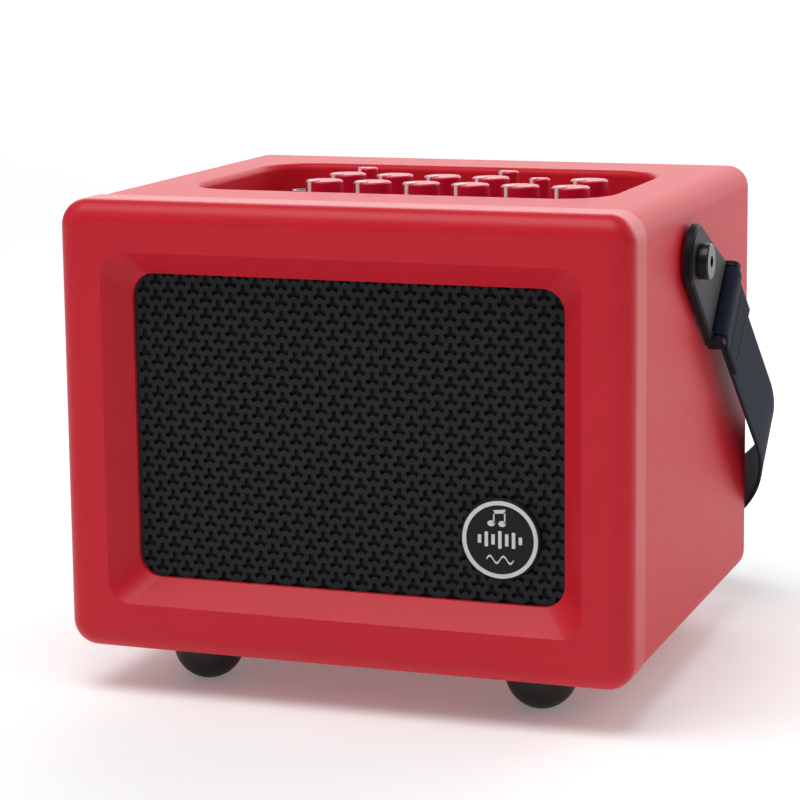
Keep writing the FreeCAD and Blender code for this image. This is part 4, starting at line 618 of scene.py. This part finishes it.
def strap_half_path():
    """The webbing's middle line on the right, from its folded end round the bar to the back's middle."""
    wrap = BAR_RADIUS + BAR_FIT + WEBBING_THICKNESS / 2
    layer = WEBBING_THICKNESS + LAYER_GAP
    points = []

    def leg(distance, offset):
        points.append(BAR + LEG_ALONG * distance + LEG_ACROSS * offset)

    for step in range(FOLD_STEPS + 1):
        leg(STITCHED_LENGTH - step * (STITCHED_LENGTH - STRAIGHT_FROM) / FOLD_STEPS, layer)
    for distance, rise in BEND:
        leg(distance, layer + (wrap - layer) * rise)
    for step in range(WRAP_STEPS + 1):
        angle = math.pi / 2 + math.pi * step / WRAP_STEPS
        leg(wrap * math.cos(angle), wrap * math.sin(angle))
    for distance, rise in BEND[::-1]:
        leg(distance, -wrap * rise)
    leg_length = (STRAP_CORNER_S - BAR_S) / math.cos(SPREAD)
    for step in range(LEG_STEPS):
        leg(STRAIGHT_FROM + (leg_length - STRAIGHT_FROM) * step / LEG_STEPS, 0)
    corner_x = BAR_X + (STRAP_CORNER_S - BAR_S) * math.tan(SPREAD)
    corner_centre = Vector((
        corner_x - STRAP_CORNER_RADIUS * math.cos(SPREAD),
        STRAP_CORNER_S + STRAP_CORNER_RADIUS * math.sin(SPREAD),
    ))
    turn = HEADING + SPREAD
    for step in range(CORNER_STEPS):
        angle = -SPREAD + turn * step / CORNER_STEPS
        points.append(corner_centre + Vector((math.cos(angle), math.sin(angle))) * STRAP_CORNER_RADIUS)
    back_radius = corner_centre.x / math.cos(HEADING) + STRAP_CORNER_RADIUS
    back_centre = Vector((0, corner_centre.y - (back_radius - STRAP_CORNER_RADIUS) * math.sin(HEADING)))
    for step in range(BACK_STEPS + 1):
        angle = HEADING + (math.pi / 2 - HEADING) * step / BACK_STEPS
        points.append(back_centre + Vector((math.cos(angle), math.sin(angle))) * back_radius)
    return points


def webbing_profile():
    """Cross-section of the band as (across, thickness) points: flat, a little thicker at its edges."""
    half_width = WEBBING_WIDTH / 2
    half = WEBBING_THICKNESS / 2
    flat = half_width - SELVEDGE
    points = []
    for step in range(PROFILE_STEPS + 1):
        v = -flat + 2 * flat * step / PROFILE_STEPS
        share = FLAT_SHARE + (1 - FLAT_SHARE) * (abs(v) / half_width) ** EDGE_POWER
        points.append((v, half * share))
    for angle in (math.pi / 4, math.pi / 2, 3 * math.pi / 4):
        points.append((flat + SELVEDGE * math.sin(angle), half * math.cos(angle)))
    return points + [(-v, -n) for v, n in points]


def make_webbing():
    """The band as one swept piece, with its flat length. Its UV map is the place on the flat band."""
    half_path = strap_half_path()
    path = half_path + [Vector((-p.x, p.y)) for p in half_path[-2::-1]]
    profile = webbing_profile()
    lengths = [0.0]
    for a, b in zip(path, path[1:]):
        lengths.append(lengths[-1] + (b - a).length)
    bm = bmesh.new()
    uv_layer = bm.loops.layers.uv.new("along")
    rings = []
    count = len(path)
    for i, p in enumerate(path):
        before = path[max(i - 1, 0)]
        after = path[min(i + 1, count - 1)]
        direction = (after - before).normalized()
        normal = Vector((direction.y, -direction.x))
        ring = []
        for v, n in profile:
            q = p + normal * n
            ring.append(bm.verts.new(strap_place(q.x, q.y, BAR_V + v)))
        rings.append(ring)
    size = len(profile)
    for i in range(count - 1):
        for j in range(size):
            k = (j + 1) % size
            face = bm.faces.new((rings[i][j], rings[i][k], rings[i + 1][k], rings[i + 1][j]))
            places = ((i, j), (i, k), (i + 1, k), (i + 1, j))
            for loop, (row, column) in zip(face.loops, places):
                loop[uv_layer].uv = (profile[column][0] * MM, lengths[row] * MM)
    bm.faces.new(rings[0][::-1])
    bm.faces.new(rings[-1])
    mesh = mesh_from_bmesh("webbing", bm)
    shade_smooth(mesh, 50)
    mesh.materials.append(MATERIALS["webbing_black"])
    webbing = new_piece("webbing", mesh, "strap")
    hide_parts("strap_webbing")
    return webbing, lengths[-1]


def stitch_places():
    """Each stitch of a folded end: distance from the bar, place across the band, turn in degrees."""
    half_width = WEBBING_WIDTH / 2 - STITCH_INSET
    places = []
    for row in CROSS_ROWS:
        for step in range(-CROSS_STITCHES, CROSS_STITCHES + 1):
            places.append((STITCHED_LENGTH - row, step * half_width / (CROSS_STITCHES + 0.5), 0))
    for side in (-1, 1):
        for step in range(SIDE_ROW_STITCHES):
            distance = STITCHED_LENGTH - SIDE_ROW_FROM - step * SIDE_ROW_PITCH
            places.append((distance, side * half_width, 90))
    return places


def make_stitching():
    """Rows of thread that hold each folded end: two rows across and one along each edge."""
    bm = bmesh.new()
    raised = WEBBING_THICKNESS * 1.5 + STITCH_RAISED
    shape = Matrix.Diagonal((*(size * MM for size in STITCH_SIZE), 1))
    for x_side in (-1, 1):
        for distance, v, turn in stitch_places():
            p = BAR + LEG_ALONG * distance + LEG_ACROSS * raised
            place = strap_place(p.x * x_side, p.y, BAR_V + v)
            outer = strap_place((p.x + LEG_ACROSS.x) * x_side, p.y + LEG_ACROSS.y, BAR_V + v)
            out = (outer - place).normalized()
            up = (strap_place(p.x * x_side, p.y, BAR_V + v + 1) - place).normalized()
            basis = Matrix((up, up.cross(out), out)).transposed().to_4x4()
            turned = Matrix.Translation(place) @ basis @ Matrix.Rotation(math.radians(turn), 4, "Z")
            bmesh.ops.create_uvsphere(bm, u_segments=8, v_segments=5, radius=1, matrix=turned @ shape)
    mesh = mesh_from_bmesh("stitching", bm)
    shade_smooth(mesh)
    mesh.materials.append(THREAD)
    stitching = new_piece("stitching", mesh, "strap")
    return stitching


# ---------------------------------------------------------------- floor, light and camera
# Lengths are in metres, powers in watts and angles in degrees.
FLOOR_HALF = 14
FLOOR_GLOW = 0.16               # the floor is a studio light table
LIGHTS = {                      # place, target, width, height, power
    "overhead": ((-0.25, -0.7, 2.1), (0, 0, 0.1), 2.0, 1.4, 38),
    "back_right": ((1.5, 1.5, 1.0), (0.1, 0, 0.1), 1.6, 1.6, 15),
    "front_left": ((-1.6, -1.2, 1.3), (0, 0, 0.1), 1.5, 1.1, 4),
    "behind": ((0, 5, 1.5), (0, 0, 1.5), 8, 3, 100),
    "far_floor": ((0, 7, 3), (0, 7, 0), 12, 6, 420),
}
SKY_GLOW = 0.2
CAMERA_PLACE = (0.404, -1.049, 0.329)       # from the middle of the cabinet's lower front edge
CAMERA_YAW = 19.65
CAMERA_PITCH = 9.78
CAMERA_ROLL = -0.61
CAMERA_SENSOR = 36              # millimetres, as is the lens
CAMERA_LENS = 121.9
CAMERA_SHIFT_Y = -0.05
CAMERA_NEAR = 0.01


def make_floor():
    bm = bmesh.new()
    bmesh.ops.create_grid(bm, x_segments=1, y_segments=1, size=FLOOR_HALF)
    mesh = mesh_from_bmesh("floor", bm)
    material = surface("floor_white", (0.86, 0.86, 0.865), 0.7, grain=0.004, depth=0.00002, change=0.01)
    shader = material.node_tree.nodes["Principled BSDF"]
    shader.inputs["Emission Color"].default_value = (1, 1, 1, 1)
    shader.inputs["Emission Strength"].default_value = FLOOR_GLOW
    mesh.materials.append(material)
    floor = bpy.data.objects.new("floor", mesh)
    bpy.context.scene.collection.objects.link(floor)


def make_lights():
    """Large soft lights, and an even glow from all round."""
    for name, (place, target, width, height, power) in LIGHTS.items():
        data = bpy.data.lights.new(name, "AREA")
        data.shape = "RECTANGLE"
        data.size = width
        data.size_y = height
        data.energy = power
        light = bpy.data.objects.new(name, data)
        light.location = place
        light.rotation_euler = (Vector(target) - Vector(place)).to_track_quat("-Z", "Y").to_euler()
        bpy.context.scene.collection.objects.link(light)
    world = bpy.data.worlds.new("studio")
    world.use_nodes = True
    background = world.node_tree.nodes["Background"]
    background.inputs["Color"].default_value = (1, 1, 1, 1)
    background.inputs["Strength"].default_value = SKY_GLOW
    bpy.context.scene.world = world


def make_camera():
    """A camera aimed by its yaw to the left, its pitch down and its roll."""
    data = bpy.data.cameras.new("camera")
    data.sensor_width = CAMERA_SENSOR
    data.lens = CAMERA_LENS
    data.shift_y = CAMERA_SHIFT_Y
    data.clip_start = CAMERA_NEAR
    camera = bpy.data.objects.new("camera", data)
    yaw, pitch, roll = (math.radians(a) for a in (CAMERA_YAW, CAMERA_PITCH, CAMERA_ROLL))
    right = Vector((math.cos(yaw), math.sin(yaw), 0))
    level = Vector((-math.sin(yaw), math.cos(yaw), 0))
    forward = level * math.cos(pitch) - Vector((0, 0, 1)) * math.sin(pitch)
    up = Vector((0, 0, 1)) * math.cos(pitch) + level * math.sin(pitch)
    x_axis = right * math.cos(roll) + up * math.sin(roll)
    y_axis = up * math.cos(roll) - right * math.sin(roll)
    basis = Matrix((x_axis, y_axis, -forward)).transposed().to_4x4()
    place = Vector((0, BEZEL_LOW.y, BEZEL_LOW.z)) + Vector(CAMERA_PLACE)
    camera.matrix_world = Matrix.Translation(place) @ basis
    bpy.context.scene.collection.objects.link(camera)
    bpy.context.scene.camera = camera


# ---------------------------------------------------------------- the scene
make_grille()
make_cloth()
make_badge()
make_pointers()
make_scale_marks()
webbing, webbing_length = make_webbing()
stitching = make_stitching()
make_floor()
make_lights()
make_camera()
bpy.context.scene.view_settings.view_transform = "Standard"
